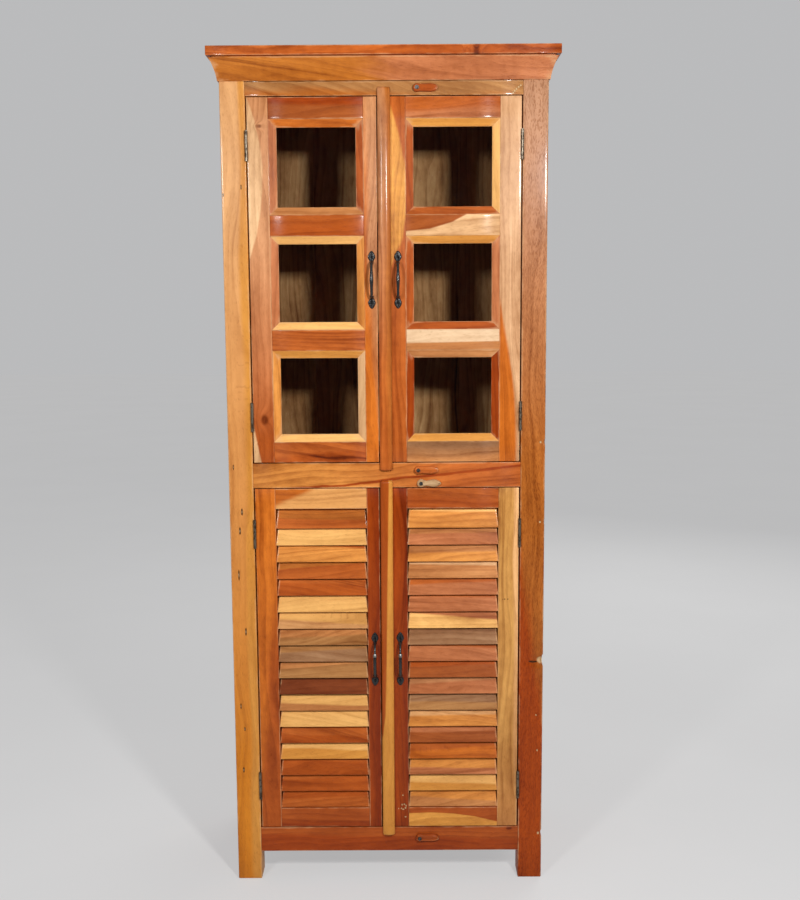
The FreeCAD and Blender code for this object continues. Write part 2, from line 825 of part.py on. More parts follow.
def louvred_door(name, side):
    hinge_x, field, meeting_x = stile_spans(side)
    depth = (front, door_back)
    rails = [door_rail(name + "_rail", field, z) for z in lower_rails]
    stiles = {
        "hinge_stile": box(name + "_hinge_blank", hinge_x, depth, lower_door),
        "meeting_stile": box(name + "_meeting_blank", meeting_x, depth, lower_door),
    }

    slat_drop = d.slat_thickness * sine(d.slat_angle)
    field_low = lower_rails[0][1]
    field_high = lower_rails[1][0]
    pitch = (field_high - field_low - d.slat_overlap - slat_drop) / SLATS
    slat_height = (pitch + d.slat_overlap) / cosine(d.slat_angle)
    slats = []
    for index in range(SLATS):
        slat = doc.addObject("Part::Box", name + "_slat")
        slat.Placement = FreeCAD.Placement(FreeCAD.Vector(), FreeCAD.Rotation(FreeCAD.Vector(-1, 0, 0), 1))
        bind(slat, "Placement.Rotation.Angle", d.slat_angle)
        bind(slat, "Length", field[1] - field[0] + 2 * d.slat_housing)
        bind(slat, "Width", d.slat_thickness)
        bind(slat, "Height", slat_height)
        corner_z = field_low + slat_drop + index * pitch
        place(slat, (field[0] - d.slat_housing, front + d.slat_setback, corner_z))
        slats.append(slat)
    housings = together(name + "_housings", slats)

    finish_door(name, side, "lower", stiles, rails, [housings], d.lower_handle_height)
    group_node(f"{name}_louvres", slats)


def cover_strip(name, opening):
    """A strip with a domed front and rounded ends, lapping the rails above and below."""
    z = grown(opening, d.strip_overlap)
    y = (front - d.strip_thickness, front)
    upright = box(name + "_upright", shrunk(strip_span, d.strip_corner), y, z)
    across = box(name + "_across", strip_span, y, shrunk(z, d.strip_corner))
    corners = []
    for corner_x in shrunk(strip_span, d.strip_corner):
        for corner_z in shrunk(z, d.strip_corner):
            at = (corner_x, y[0], corner_z)
            corners.append(cylinder(name + "_corner", d.strip_corner, d.strip_thickness, at, "+y"))
    flat = fuse(name + "_flat", [upright, across] + corners)
    half = d.strip_width / 2
    dome_radius = (half * half + d.strip_dome * d.strip_dome) / (2 * d.strip_dome)
    dome = cylinder(name + "_dome", dome_radius, z[1] - z[0],
                    (strip_middle, y[0] + dome_radius, z[0]), "+z")
    node(name, common(name, flat, dome))


glazed_door("upper_left", LEFT)
glazed_door("upper_right", RIGHT)
louvred_door("lower_left", LEFT)
louvred_door("lower_right", RIGHT)
cover_strip("upper_strip", (middle_rail[1], top_rail[0]))
cover_strip("lower_strip", (bottom_rail[1], middle_rail[0]))

doc.recompute()

for thing in doc.Objects:
    if "Invalid" in thing.State or "Error" in thing.State:
        raise RuntimeError(f"{thing.Name} failed: {thing.State}")
for name, solid in nodes.items():
    if solid.Shape.isNull() or not solid.Shape.isValid():
        raise RuntimeError(f"{name} has no valid shape")

os.makedirs("parts", exist_ok=True)
for name, solid in nodes.items():
    solid.Shape.exportStep(f"parts/{name}.step")
print(len(nodes), "sub-parts written")
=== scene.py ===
import json
import math
import random

import bmesh
import bpy
from mathutils import Matrix, Vector, noise

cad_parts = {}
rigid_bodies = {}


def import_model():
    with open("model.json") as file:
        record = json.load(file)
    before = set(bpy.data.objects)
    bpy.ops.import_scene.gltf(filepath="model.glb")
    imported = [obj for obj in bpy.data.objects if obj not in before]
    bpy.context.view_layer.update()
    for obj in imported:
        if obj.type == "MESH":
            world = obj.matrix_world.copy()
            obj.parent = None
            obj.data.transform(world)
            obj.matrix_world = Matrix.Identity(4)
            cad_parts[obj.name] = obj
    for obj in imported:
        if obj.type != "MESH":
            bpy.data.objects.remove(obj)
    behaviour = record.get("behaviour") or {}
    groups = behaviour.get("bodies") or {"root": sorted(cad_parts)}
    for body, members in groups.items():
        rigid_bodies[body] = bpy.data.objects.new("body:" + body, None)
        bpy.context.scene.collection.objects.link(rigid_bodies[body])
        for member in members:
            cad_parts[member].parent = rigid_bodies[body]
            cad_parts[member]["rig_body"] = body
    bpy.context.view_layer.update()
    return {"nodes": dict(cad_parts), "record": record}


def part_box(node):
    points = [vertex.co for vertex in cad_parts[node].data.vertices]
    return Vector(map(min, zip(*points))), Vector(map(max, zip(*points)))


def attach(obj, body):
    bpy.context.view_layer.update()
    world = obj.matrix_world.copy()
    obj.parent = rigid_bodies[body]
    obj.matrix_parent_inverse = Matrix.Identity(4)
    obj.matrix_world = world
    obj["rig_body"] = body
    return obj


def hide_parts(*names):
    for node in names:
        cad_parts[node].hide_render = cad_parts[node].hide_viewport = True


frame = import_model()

chance = random.Random(18)
X, Y, Z = 0, 1, 2

# Timber tones, as sRGB values of the lacquered wood
TONES = {
    "ivory": (227, 190, 150),
    "cream": (222, 173, 123),
    "straw": (238, 178, 102),
    "wheat": (222, 162, 104),
    "oat": (209, 158, 114),
    "corn": (228, 161, 92),
    "gold": (214, 143, 62),
    "honey": (216, 140, 48),
    "saffron": (214, 128, 34),
    "amber": (214, 136, 62),
    "khaki": (197, 138, 71),
    "tan": (190, 122, 68),
    "hazel": (168, 113, 63),
    # A pale pinkish tone that paints a sheen on the top of the right post
    "painted_sheen_clay": (183, 131, 96),
    "fawn": (199, 135, 88),
    "taupe": (152, 106, 70),
    "mauve": (184, 108, 64),
    "orange": (200, 105, 32),
    "ochre": (185, 106, 35),
    "umber": (174, 97, 36),
    "copper": (180, 90, 34),
    "russet": (168, 77, 24),
    "sienna": (156, 78, 32),
    "brick": (164, 66, 10),
    "red": (152, 60, 12),
    "deep": (130, 46, 10),
    "cocoa": (122, 57, 26),
    "dusty": (152, 111, 70),
    "bare": (196, 158, 116),
}

PALE_TONES = "ivory cream straw wheat corn gold honey saffron bare".split()

# What each vertex tells the timber material
ATTRIBUTES = {
    "grain": "FLOAT_VECTOR",
    "fibre": "FLOAT_VECTOR",
    "knot": "FLOAT_VECTOR",
    "heart": "FLOAT_COLOR",
    "other": "FLOAT_COLOR",
    "sap": "FLOAT",
    "edge": "FLOAT",
    "curl": "FLOAT",
    "figure": "FLOAT",
    "band": "FLOAT",
}
FIELDS = {"FLOAT_VECTOR": "vector", "FLOAT_COLOR": "color", "FLOAT": "value"}

# Values for wood without a second tone or a knot, and how sharply or widely these show
NO_SAP = -9.0
SAP_END = 80
NO_KNOT = Vector((9, 9, 9))
KNOT_REACH = 0.06
PALE_FIGURE = 0.5
GRAIN_SPREAD = 9


def linear(tone):
    """A named tone as a linear colour with full alpha."""
    values = [v / 255 for v in TONES[tone]]
    return [((v + 0.055) / 1.055) ** 2.4 for v in values] + [1.0]


class Timber:
    """One plank's wood: its heart tone, a second tone past a line on its face, knots and curly figure.

    The heart tone may fade into an ending tone between two places along the plank. The line is at `across`
    where the plank is at `along`, and leans and bends. The second tone lies past the line, or with side=-1
    before it, or in a band along it, and may end below a place along the plank. A heel brings the line back
    as a wedge, from a place along and across and with a slope. A knot is its place along and across, its
    size and how much shorter it is along the grain. The figure may slant, and is fainter in pale wood.
    """

    def __init__(self, heart, other=None, across=None, lean=0.0, along=0.0, bend=0.0, soft=0.010, side=1,
                 band=0.0, above=None, heel=None, knots=(), curl=0.04, slant=0.0, figure=None,
                 ending=None, fade=(0, 1)):
        self.heart = Vector(linear(heart))
        self.ending = Vector(linear(ending or heart))
        self.fade = fade
        self.line = (across, lean, along, bend, soft, side)
        self.above = above
        self.heel = heel
        self.knots = knots
        self.slant = slant
        self.even = {
            "other": linear(other or heart),
            "curl": curl,
            "figure": figure or (PALE_FIGURE if heart in PALE_TONES else 1.0),
            "band": band,
        }
        self.shift = Vector([chance.uniform(-GRAIN_SPREAD, GRAIN_SPREAD) for _ in range(3)])

    def values(self, u, v, w, edge, fibre):
        """What a vertex tells the material, from its place along, across and deep in the plank."""
        across, lean, along, bend, soft, side = self.line
        sap = NO_SAP
        if across is not None:
            run = u - along
            line = across + lean * run + bend * run * run
            if self.heel:
                heel_along, heel_across, slope = self.heel
                line = max(line, heel_across + slope * (heel_along - u))
            sap = side * (v - line) / soft
        if self.above is not None:
            sap -= SAP_END * max(0, self.above - u)
        fade_start, fade_end = self.fade
        share = min(1, max(0, (u - fade_start) / (fade_end - fade_start)))
        knot = NO_KNOT
        for ku, kv, size, short in self.knots:
            if abs(u - ku) < KNOT_REACH:
                knot = Vector(((u - ku) * short, v - kv, 0)) / size
        return {
            **self.even,
            "grain": Vector((u, v + self.slant * u, w)) + self.shift,
            "fibre": fibre,
            "knot": knot,
            "heart": self.heart.lerp(self.ending, share),
            "sap": sap,
            "edge": edge,
        }


END_INSET = 0.12


class Piece:
    """The mesh of one dressed piece, gathered from its planks."""

    def __init__(self):
        self.points = []
        self.faces = []
        self.rows = {name: [] for name in ATTRIBUTES}

    def add(self, place, values):
        """Adds a vertex and gives its number."""
        self.points.append(place)
        for name in ATTRIBUTES:
            self.rows[name].append(values[name])
        return len(self.points) - 1

    def skin(self, a, b):
        """Joins two rings by a band of faces."""
        for k in range(len(a)):
            n = (k + 1) % len(a)
            self.faces.append((a[k], a[n], b[n], b[k]))

    def close(self, rings):
        """Skins a row of rings and closes both ends."""
        for a, b in zip(rings, rings[1:]):
            self.skin(a, b)
        for ring in (rings[0], rings[-1]):
            inner = self.shrink(ring, END_INSET)
            self.skin(ring, inner)
            self.faces.append(inner)

    def shrink(self, ring, share):
        """A copy of a ring, drawn towards its middle and away from the edge that is painted pale, as wear
        and as a painted highlight.
        """
        middle = sum((self.points[i] for i in ring), Vector()) / len(ring)
        grain = sum((self.rows["grain"][i] for i in ring), Vector()) / len(ring)
        inner = []
        for i in ring:
            values = {name: self.rows[name][i] for name in ATTRIBUTES}
            values["grain"] = values["grain"].lerp(grain, share)
            values["edge"] = 0.0
            inner.append(self.add(self.points[i].lerp(middle, share), values))
        return inner

    def mesh(self, name, sharp):
        """The finished mesh, smooth except across edges sharper than an angle in degrees."""
        mesh = bpy.data.meshes.new(name)
        mesh.from_pydata(self.points, [], self.faces)
        for key, kind in ATTRIBUTES.items():
            layer = mesh.attributes.new(key, kind, "POINT")
            values = self.rows[key]
            flat = values if kind == "FLOAT" else [c for row in values for c in row]
            layer.data.foreach_set(FIELDS[kind], flat)
        work = bmesh.new()
        work.from_mesh(mesh)
        bmesh.ops.recalc_face_normals(work, faces=work.faces)
        work.to_mesh(mesh)
        work.free()
        mesh.shade_smooth()
        mesh.set_sharp_from_angle(angle=math.radians(sharp))
        return mesh


def add_object(name, data):
    """A new object in the scene."""
    made = bpy.data.objects.new(name, data)
    bpy.context.scene.collection.objects.link(made)
    return made


def add_piece(name, piece, material, node, sharp=40):
    """Puts a piece on a node's body."""
    mesh = piece.mesh(name, sharp)
    mesh.materials.append(material)
    made = add_object(name, mesh)
    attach(made, frame["nodes"][node]["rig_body"])
    return made


def stand_in(node, piece, material, sharp=40):
    """Puts a piece on a node's body, in that node's place."""
    made = add_piece(f"{node}.dressed", piece, material, node, sharp)
    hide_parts(node)


def paint(node, material):
    """Gives a solid that stays in view its material."""
    node.data.materials.clear()
    node.data.materials.append(material)


def solids(node):
    """The separate solids of a node as lists of their corners."""
    work = bmesh.new()
    work.from_mesh(frame["nodes"][node].data)
    bmesh.ops.remove_doubles(work, verts=work.verts, dist=1e-5)
    seen = set()
    groups = []
    for first in work.verts:
        if first in seen:
            continue
        seen.add(first)
        reach = [first]
        for vert in reach:
            for link in vert.link_edges:
                other = link.other_vert(vert)
                if other not in seen:
                    seen.add(other)
                    reach.append(other)
        groups.append([vert.co.copy() for vert in reach])
    work.free()
    return groups


def boxes(node):
    """The lowest and highest corners of each solid of a node, from left to right and upwards."""
    found = []
    for points in solids(node):
        found.append((Vector([min(p[i] for p in points) for i in range(3)]),
                      Vector([max(p[i] for p in points) for i in range(3)])))
    return sorted(found, key=lambda box: (round(box[0].x, 3), box[0].z))


def between(low, high, axis, start, end):
    """A box, kept to a span along one axis."""
    low = low.copy()
    high = high.copy()
    low[axis] = start
    high[axis] = end
    return low, high


# Planks: corners bent by more than an angle are rounded, and faces wave a little
BENT = 0.5
ROUND_SHARE = 0.3
END_HIGHLIGHT_WEAR_FADE = 0.004
WAVE_ALONG = 9
WAVE_ACROSS = 30
DENT_STOPS = (-1, -0.7, -0.4, -0.15, 0.15, 0.4, 0.7, 1)


def outline(corners, radius, margin=0.004, spacing=0.022):
    """A section with rounded corners, as points (v, w), their outward direction and how much their edge is
    painted pale, as wear and as a painted highlight.
    """
    corners = [Vector(c) for c in corners]
    area = sum(a.x * b.y - b.x * a.y for a, b in zip(corners, corners[1:] + corners[:1]))
    if area < 0:
        corners.reverse()
    count = len(corners)
    ways = [corners[(i + 1) % count] - corners[i] for i in range(count)]
    sides = [way.length for way in ways]
    ways = [way.normalized() for way in ways]
    normals = [Vector((way.y, -way.x)) for way in ways]
    rounds = []
    for i in range(count):
        bent = ways[i - 1].angle(ways[i]) > BENT
        most = ROUND_SHARE * min(sides[i - 1], sides[i])
        rounds.append(min(radius, most) if bent else 0.0)
    points = []
    for i, corner in enumerate(corners):
        r = rounds[i]
        if r:
            start = corner - ways[i - 1] * r
            end = corner + ways[i] * r
            for t in (0, 1 / 3, 2 / 3, 1):
                spot = start * (1 - t) ** 2 + corner * 2 * t * (1 - t) + end * t ** 2
                points.append((spot, normals[i - 1].lerp(normals[i], t).normalized(), 1.0))
        else:
            points.append((corner, (normals[i - 1] + normals[i]).normalized(), 0.0))
        run = sides[i] - r - rounds[(i + 1) % count]
        if run > 3 * margin:
            inner = max(1, round((run - 2 * margin) / spacing))
            for k in range(inner + 1):
                spot = corner + ways[i] * (r + margin + (run - 2 * margin) * k / inner)
                points.append((spot, normals[i], 0.0))
    return points


def eased(radius):
    """Offsets and insets of the rings that round off the end of a plank."""
    return [(0, 0.85 * radius), (0.3 * radius, 0.3 * radius), (radius, 0)]


def bullnose(radius, steps=6):
    """Offsets and insets of the rings of a half-round end."""
    angles = [math.radians(82 * (1 - k / steps)) for k in range(steps + 1)]
    return [(radius * (1 - math.sin(a)), radius * (1 - math.cos(a))) for a in angles]


def loft(piece, section, start, end, place, timber, ends=((0, 0),), back_ends=None, order=(0, 1, 2),
         step=0.05, wave=0.00018, dents=(), worn=0.0):
    """A section carried from start to end, each a length or a function of the place in the section.

    The ends are painted pale over a length, as wear and as a painted highlight. A dent is its place, its
    size and its depth.
    """
    if worn:
        ends = list(ends) + [(worn, 0), (worn + END_HIGHLIGHT_WEAR_FADE, 0)]
    first = start if callable(start) else lambda v, w: start
    last = end if callable(end) else lambda v, w: end
    about = last(*section[0][0]) - first(*section[0][0])
    count = max(1, round(abs(about) / step))
    shares = {k / count for k in range(1, count)}
    for spot, size, depth in dents:
        shares.update((spot[0] + size * k - start) / about for k in DENT_STOPS)
    stops = [(0, offset, inset) for offset, inset in ends]
    stops += [(share, 0, 0) for share in sorted(shares) if 0.001 < share < 0.999]
    stops += [(1, -offset, inset) for offset, inset in reversed(back_ends or ends)]
    ahead = [0, 0, 0]
    ahead[order[0]] = 1
    fibre = place(*ahead) - place(0, 0, 0)
    rings = []
    for share, offset, inset in stops:
        ring = []
        for spot, normal, edge in section:
            v, w = spot
            u = first(v, w) * (1 - share) + last(v, w) * share + math.copysign(offset, about * offset)
            ripple = Vector((u * WAVE_ALONG, v * WAVE_ACROSS, w * WAVE_ACROSS)) + timber.shift
            move = wave * noise.noise(ripple) - inset
            for dent, size, depth in dents:
                far = (Vector((u, v, w)) - Vector(dent)).length / size
                move -= depth * max(0, 1 - far * far)
            rest = (u, v, w)
            # Ends and rounded edges take the pale colour of wear and painted highlight
            wear_and_highlight = 1.0 if share in (0, 1) and abs(offset) <= worn else edge
            values = timber.values(*[rest[i] for i in order], wear_and_highlight, fibre)
            ring.append(piece.add(place(u, *(spot + normal * move)), values))
        rings.append(ring)
    piece.close(rings)


def plank(piece, low, high, along, across, timber, radius=0.0012, turn=None, long_edge_highlight_wear=1.0, taper=0.0, **options):
    """A straight plank filling a box, with its grain along one axis and its face across another.

    Its long edges may get less of the pale edge colour, which stands for wear and paints a highlight, and
    its ends may taper towards the far side of its face.
    """
    deep = 3 - along - across

    def place(u, v, w):
        spot = Vector()
        spot[along] = u
        spot[across] = v
        spot[deep] = w
        return turn @ spot if turn else spot

    v0, v1, w0, w1 = low[across], high[across], low[deep], high[deep]
    section = outline([(v0, w0), (v1, w0), (v1, w1), (v0, w1)], radius)
    section = [(spot, normal, edge * long_edge_highlight_wear) for spot, normal, edge in section]

    def tapered_start(v, w):
        return low[along] + taper * (v - v0) / (v1 - v0)

    def tapered_end(v, w):
        return high[along] - taper * (v - v0) / (v1 - v0)

    ends = (tapered_start, tapered_end) if taper else (low[along], high[along])
    loft(piece, section, *ends, place, timber, eased(radius), **options)


def boards(piece, low, high, along, across, woods, gap=0.0003):
    """Edge-jointed boards that fill a box side by side."""
    width = (high[across] - low[across]) / len(woods)
    for k, wood in enumerate(woods):
        start = low[across] + width * k + (gap if k else 0)
        end = low[across] + width * (k + 1) - (gap if k + 1 < len(woods) else 0)
        timber = wood if isinstance(wood, Timber) else Timber(wood)
        plank(piece, *between(low, high, across, start, end), along, across, timber)


def stick(piece, low, high, timber):
    """A plank with its grain along its longest side."""
    size = high - low
    across, along = sorted((X, Y, Z), key=lambda axis: size[axis])[1:]
    plank(piece, low, high, along, across, timber)


# Materials: growth rings, marks and the glow of the floor
RING_WIDTH = 0.017
# A pale tone on rounded edges and ends: partly wear, partly a painted highlight
WEAR_AND_HIGHLIGHT_TONE = (0.72, 0.43, 0.22, 1)
CHIPPED = (0.62, 0.40, 0.20, 1)
HOLLOW = (0.05, 0.018, 0.006, 1)
MARK_DEPTH = 3.0
FLOOR_GLOW = 0.425


class Graph:
    """The nodes of a material or of the world, wired by short calls."""

    def __init__(self, name, kind="materials", shader="Principled BSDF"):
        self.owner = getattr(bpy.data, kind).new(name)
        self.owner.use_nodes = True
        self.tree = self.owner.node_tree
        self.shader = self.tree.nodes[shader]

    def wire(self, socket, value):
        if isinstance(value, bpy.types.NodeSocket):
            self.tree.links.new(value, socket)
        else:
            socket.default_value = value

    def node(self, kind, inputs=(), **settings):
        made = self.tree.nodes.new("ShaderNode" + kind)
        for key, value in settings.items():
            setattr(made, key, value)
        for key, value in dict(inputs).items():
            self.wire(made.inputs[key], value)
        return made

    def attribute(self, name, output="Vector"):
        return self.node("Attribute", attribute_name=name).outputs[output]

    def object_place(self):
        return self.node("TexCoord").outputs["Object"]

    def math(self, operation, *values):
        return self.node("Math", enumerate(values), operation=operation).outputs[0]

    def total(self, start, *terms):
        """A start plus each value times its weight."""
        result = start
        for value, weight in terms:
            result = self.math("MULTIPLY_ADD", value, weight, result)
        return result

    def vector(self, operation, *values, output="Vector"):
        return self.node("VectorMath", enumerate(values), operation=operation).outputs[output]

    def noise(self, place, stretch, detail=2.0, rough=0.5):
        spot = self.vector("MULTIPLY", place, stretch)
        inputs = {"Vector": spot, "Scale": 1.0, "Detail": detail, "Roughness": rough}
        return self.node("TexNoise", inputs).outputs["Fac"]

    def band(self, value, start, end, low=0.0, high=1.0):
        """A smooth step from low to high as the value goes from start to end."""
        inputs = {"Value": value, "From Min": start, "From Max": end, "To Min": low, "To Max": high}
        return self.node("MapRange", inputs, interpolation_type="SMOOTHSTEP").outputs["Result"]

    def mix(self, share, a, b):
        return self.node("Mix", {0: share, 6: a, 7: b}, data_type="RGBA").outputs[2]

    def seen(self):
        """One for rays from the camera, off gloss or through glass, and zero for the rest."""
        rays = self.node("LightPath").outputs
        shown = self.math("MAXIMUM", rays["Is Camera Ray"], rays["Is Glossy Ray"])
        return self.math("MAXIMUM", shown, rays["Is Transmission Ray"])

    def bump(self, height, distance):
        return self.node("Bump", {"Height": height, "Distance": distance}).outputs["Normal"]

    def finish(self, **values):
        """Sets the shader's inputs and gives what was made."""
        for name, value in values.items():
            self.wire(self.shader.inputs[name.replace("_", " ")], value)
        return self.owner


def timber_material(name, contrast=1.0, coat=0.15, rough=0.40, holes=(), chips=(), pores=0.12,
                    open_grain=0.0, highlight_wear_share=1.0):
    """Solid wood: rings and streaks along the grain, sapwood, knots, pores, and pale edges that show wear
    and a painted highlight.
    """
    g = Graph(name)
    grain = g.attribute("grain")
    parts = g.node("SeparateXYZ", {0: grain}).outputs
    edge = g.attribute("edge", "Fac")
    near = g.vector("LENGTH", g.attribute("knot"), output="Value")
    hill = g.math("EXPONENT", g.math("MULTIPLY", g.math("MULTIPLY", near, near), -0.5))

    wander = g.noise(grain, (1.7, 9, 9), 2)
    field = g.total(parts["Y"], (parts["Z"], 0.45), (wander, 0.13), (hill, 0.022))
    flow = g.node("CombineXYZ", {0: parts["X"], 1: field, 2: parts["Z"]}).outputs[0]
    streak = g.noise(flow, (1.5, 42, 42), 5, 0.60)
    vein = g.band(g.noise(flow, (1.1, 60, 30), 3), 0.57, 0.72)
    cloud = g.noise(grain, (6, 19, 19), 3)
    mottle = g.noise(grain, (40, 95, 95), 3)
    fibre = g.noise(flow, (40, 800, 800), 2)
    pore = g.band(g.noise(flow, (110, 850, 850), 1), 0.58 - open_grain, 0.72 - open_grain)

    turns = g.math("FRACT", g.total(g.math("DIVIDE", field, RING_WIDTH), (streak, 1.2)))
    ring = g.math("MULTIPLY", g.band(turns, 0.35, 0.92), g.band(turns, 1.0, 0.94))
    wave = g.total(-2.0, (g.noise(grain, (95, 16, 16), 2), 4.0))
    ripple = g.math("MULTIPLY", wave, g.attribute("curl", "Fac"))
    core = g.band(near, 0.95, 0.35)

    sap = g.attribute("sap", "Fac")
    width = g.attribute("band", "Fac")
    near_line = g.total(-6.0, (sap, 1.0), (wander, 3.0), (cloud, 9.0))
    inside = g.math("SUBTRACT", width, g.math("ABSOLUTE", near_line))
    within = g.node("Mix", {0: g.math("GREATER_THAN", width, 0.01), 2: sap, 3: inside}).outputs[0]
    line = g.total(within, (wander, 3.0), (streak, 1.5))
    base = g.mix(g.band(line, 1.75, 2.75), g.attribute("heart", "Color"), g.attribute("other", "Color"))
    swing = g.total(-1.12, (streak, 1.0), (cloud, 0.85), (mottle, 0.40), (fibre, 0.15), (ring, -0.15),
                    (vein, -0.33))
    figure = g.math("MULTIPLY", g.attribute("figure", "Fac"), contrast)
    bright = g.total(1.0, (swing, figure), (pore, -pores), (ripple, 0.25), (core, -0.55))
    bright = g.math("MAXIMUM", bright, 0.12)
    deeper = g.math("POWER", bright, 1.35)
    deepest = g.math("POWER", bright, 1.7)
    tint = g.node("CombineXYZ", {0: bright, 1: deeper, 2: deepest}).outputs[0]
    colour = g.vector("MULTIPLY", base, tint)
    # Rounded edges turn pale: partly wear, partly a painted highlight
    wear_and_highlight = g.band(g.total(edge, (cloud, 0.9), (mottle, 0.9)), 1.68, 2.08)
    colour = g.mix(g.math("MULTIPLY", wear_and_highlight, 0.42 * highlight_wear_share), colour, WEAR_AND_HIGHLIGHT_TONE)
    height = g.total(0.0, (fibre, 0.5), (pore, -0.6), (ring, -0.3), (mottle, 1.0))
    gloss = g.total(rough - 0.14, (fibre, 0.12), (cloud, 0.10), (mottle, 0.10), (pore, 0.14),
                    (wear_and_highlight, 0.10))

    place = g.object_place()
    mark_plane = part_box("post_front_left")[0].y
    cores = [(x, z, 0.45 * wide, 0.40 * tall) for x, z, wide, tall in holes if tall > wide]
    for marks, tone in ((holes, HOLLOW), (cores, CHIPPED), (chips, CHIPPED)):
        mask = None
        for x, z, wide, tall in marks:
            away = g.vector("SUBTRACT", place, (x, mark_plane, z))
            away = g.vector("MULTIPLY", away, (1 / wide, 0.8 / max(wide, tall), 1 / tall))
            far = g.total(g.vector("LENGTH", away, output="Value"), (cloud, 1.0))
            hit = g.band(far, 1.8, 1.3)
            mask = g.math("MAXIMUM", mask, hit) if mask else hit
        if mask:
            colour = g.mix(mask, colour, tone)
            height = g.total(height, (mask, -MARK_DEPTH))
    along = g.node("VectorTransform", {0: g.attribute("fibre")}, vector_type="VECTOR",
                   convert_from="OBJECT", convert_to="WORLD").outputs[0]
    return g.finish(Base_Color=colour, Roughness=gloss, Specular_IOR_Level=0.12, Anisotropic=0.8,
                    Anisotropic_Rotation=0.25, Tangent=along, Coat_Weight=coat, Coat_Roughness=0.12,
                    Normal=g.bump(height, distance=0.0003))


def iron_material():
    """Blacked hand-forged iron, uneven and a little rusty."""
    g = Graph("black_iron")
    place = g.object_place()
    hammer = g.noise(place, (260, 260, 260), 2)
    grit = g.noise(place, (2400, 2400, 2400), 2)
    rust = g.band(g.noise(place, (90, 90, 90), 3), 0.56, 0.72)
    colour = g.mix(rust, (0.010, 0.011, 0.012, 1), (0.034, 0.022, 0.016, 1))
    height = g.total(0.0, (hammer, 1.0), (grit, 0.12))
    gloss = g.total(0.14, (hammer, 0.20), (grit, 0.08), (rust, 0.22))
    return g.finish(Base_Color=colour, Roughness=gloss, Specular_IOR_Level=0.5,
                    Normal=g.bump(height, distance=0.0006))


def steel_material(name, tone, dark):
    """Dulled steel with drawn scratches and stains."""
    g = Graph(name)
    place = g.object_place()
    drawn = g.noise(place, (2600, 2600, 120), 2)
    stain = g.noise(place, (210, 210, 120), 3)
    colour = g.mix(g.band(stain, 0.42, 0.66), tone, dark)
    gloss = g.total(0.18, (drawn, 0.22), (stain, 0.25))
    return g.finish(Base_Color=colour, Metallic=1.0, Roughness=gloss, Normal=g.bump(drawn, distance=0.00012))


def glass_material():
    """Window glass, a little wavy, with faint dust."""
    g = Graph("window_glass")
    place = g.object_place()
    wavy = g.noise(place, (9, 9, 9), 2)
    dust = g.band(g.noise(place, (60, 60, 22), 4), 0.45, 0.8, 0.004, 0.05)
    return g.finish(Base_Color=(0.96, 0.985, 0.97, 1), Roughness=dust, Transmission_Weight=1.0, IOR=1.48,
                    Normal=g.bump(wavy, distance=0.00008))


def floor_material():
    """A pale floor, which the camera sees half shaded and half even."""
    g = Graph("pale_floor")
    soft = g.noise(g.object_place(), (1.3, 1.3, 1.3), 3)
    colour = g.mix(g.band(soft, 0.3, 0.7), (0.66, 0.655, 0.645, 1), (0.70, 0.695, 0.685, 1))
    seen = g.seen()
    colour = g.mix(seen, colour, g.vector("MULTIPLY", colour, (0.5, 0.5, 0.5)))
    return g.finish(Base_Color=colour, Roughness=0.9, Specular_IOR_Level=0.0,
                    Emission_Color=(0.99, 0.99, 1, 1),
                    Emission_Strength=g.math("MULTIPLY", seen, FLOOR_GLOW))


def curtain_material():
    """Near-black cloth with upright folds."""
    g = Graph("dark_curtain")
    folds = g.noise(g.object_place(), (6, 6, 0.4), 2)
    colour = g.mix(g.band(folds, 0.3, 0.7), (0.025, 0.024, 0.023, 1), (0.045, 0.043, 0.041, 1))
    return g.finish(Base_Color=colour, Roughness=0.9)


def from_mm(*rows):
    """Rows of millimetres as rows of metres."""
    return [tuple(v / 1000 for v in row) for row in rows]


# Marks in the wood, as places on the front (x, z) with their half sizes
WORM_HOLES = from_mm(
    (-328, 878, 2, 7.5), (-333.6, 834, 1.8, 8), (-338.3, 732, 1.4, 11), (-325.5, 599, 1.8, 8.5),
    (-341.1, 422, 1.4, 6), (-333.2, 367, 1.6, 4), (-337.9, 268, 1.6, 6), (-352.7, 1580, 1.6, 4),
    (-313.1, 1597, 1.2, 5), (-345, 980, 1.2, 6),
)
CHIPS = from_mm(
    (345.5, 1033, 2.2, 2.4), (345.9, 851, 1.8, 2.2), (350.5, 528, 7.5, 7), (341.1, 397, 1.4, 1.8),
    (344.2, 312, 1.4, 2.2), (348.5, 109, 3, 3.6),
)
POST_CRACK = from_mm((334.5, 524, 8, 1.6), (327, 525.5, 4, 1.2))
CRACK = from_mm(
    (279, 1792.5, 2.2, 2.6), (282.2, 1796.5, 2, 2.6), (286, 1800.5, 1.8, 2.4), (290.5, 1804.5, 2.2, 2),
    (295, 1808, 2.2, 1.8),
)
SPECKS = from_mm((263, 672, 1.1, 1), (267.1, 672.5, 1.5, 1.3), (274.2, 672.4, 1.4, 1.2))
SCRATCHES = from_mm(
    (35.4, 182.1, 2.2, 1.4), (39.3, 178.2, 1.4, 2.4), (38.1, 173, 1.8, 2), (32.5, 169.6, 2.6, 1.4),
    (28.5, 172.1, 1.4, 2), (30, 180.9, 1.4, 2.4), (32, 204, 1.6, 1.6), (21.7, 171.6, 1.2, 1.6),
    (38, 151.1, 2, 1.4),
)

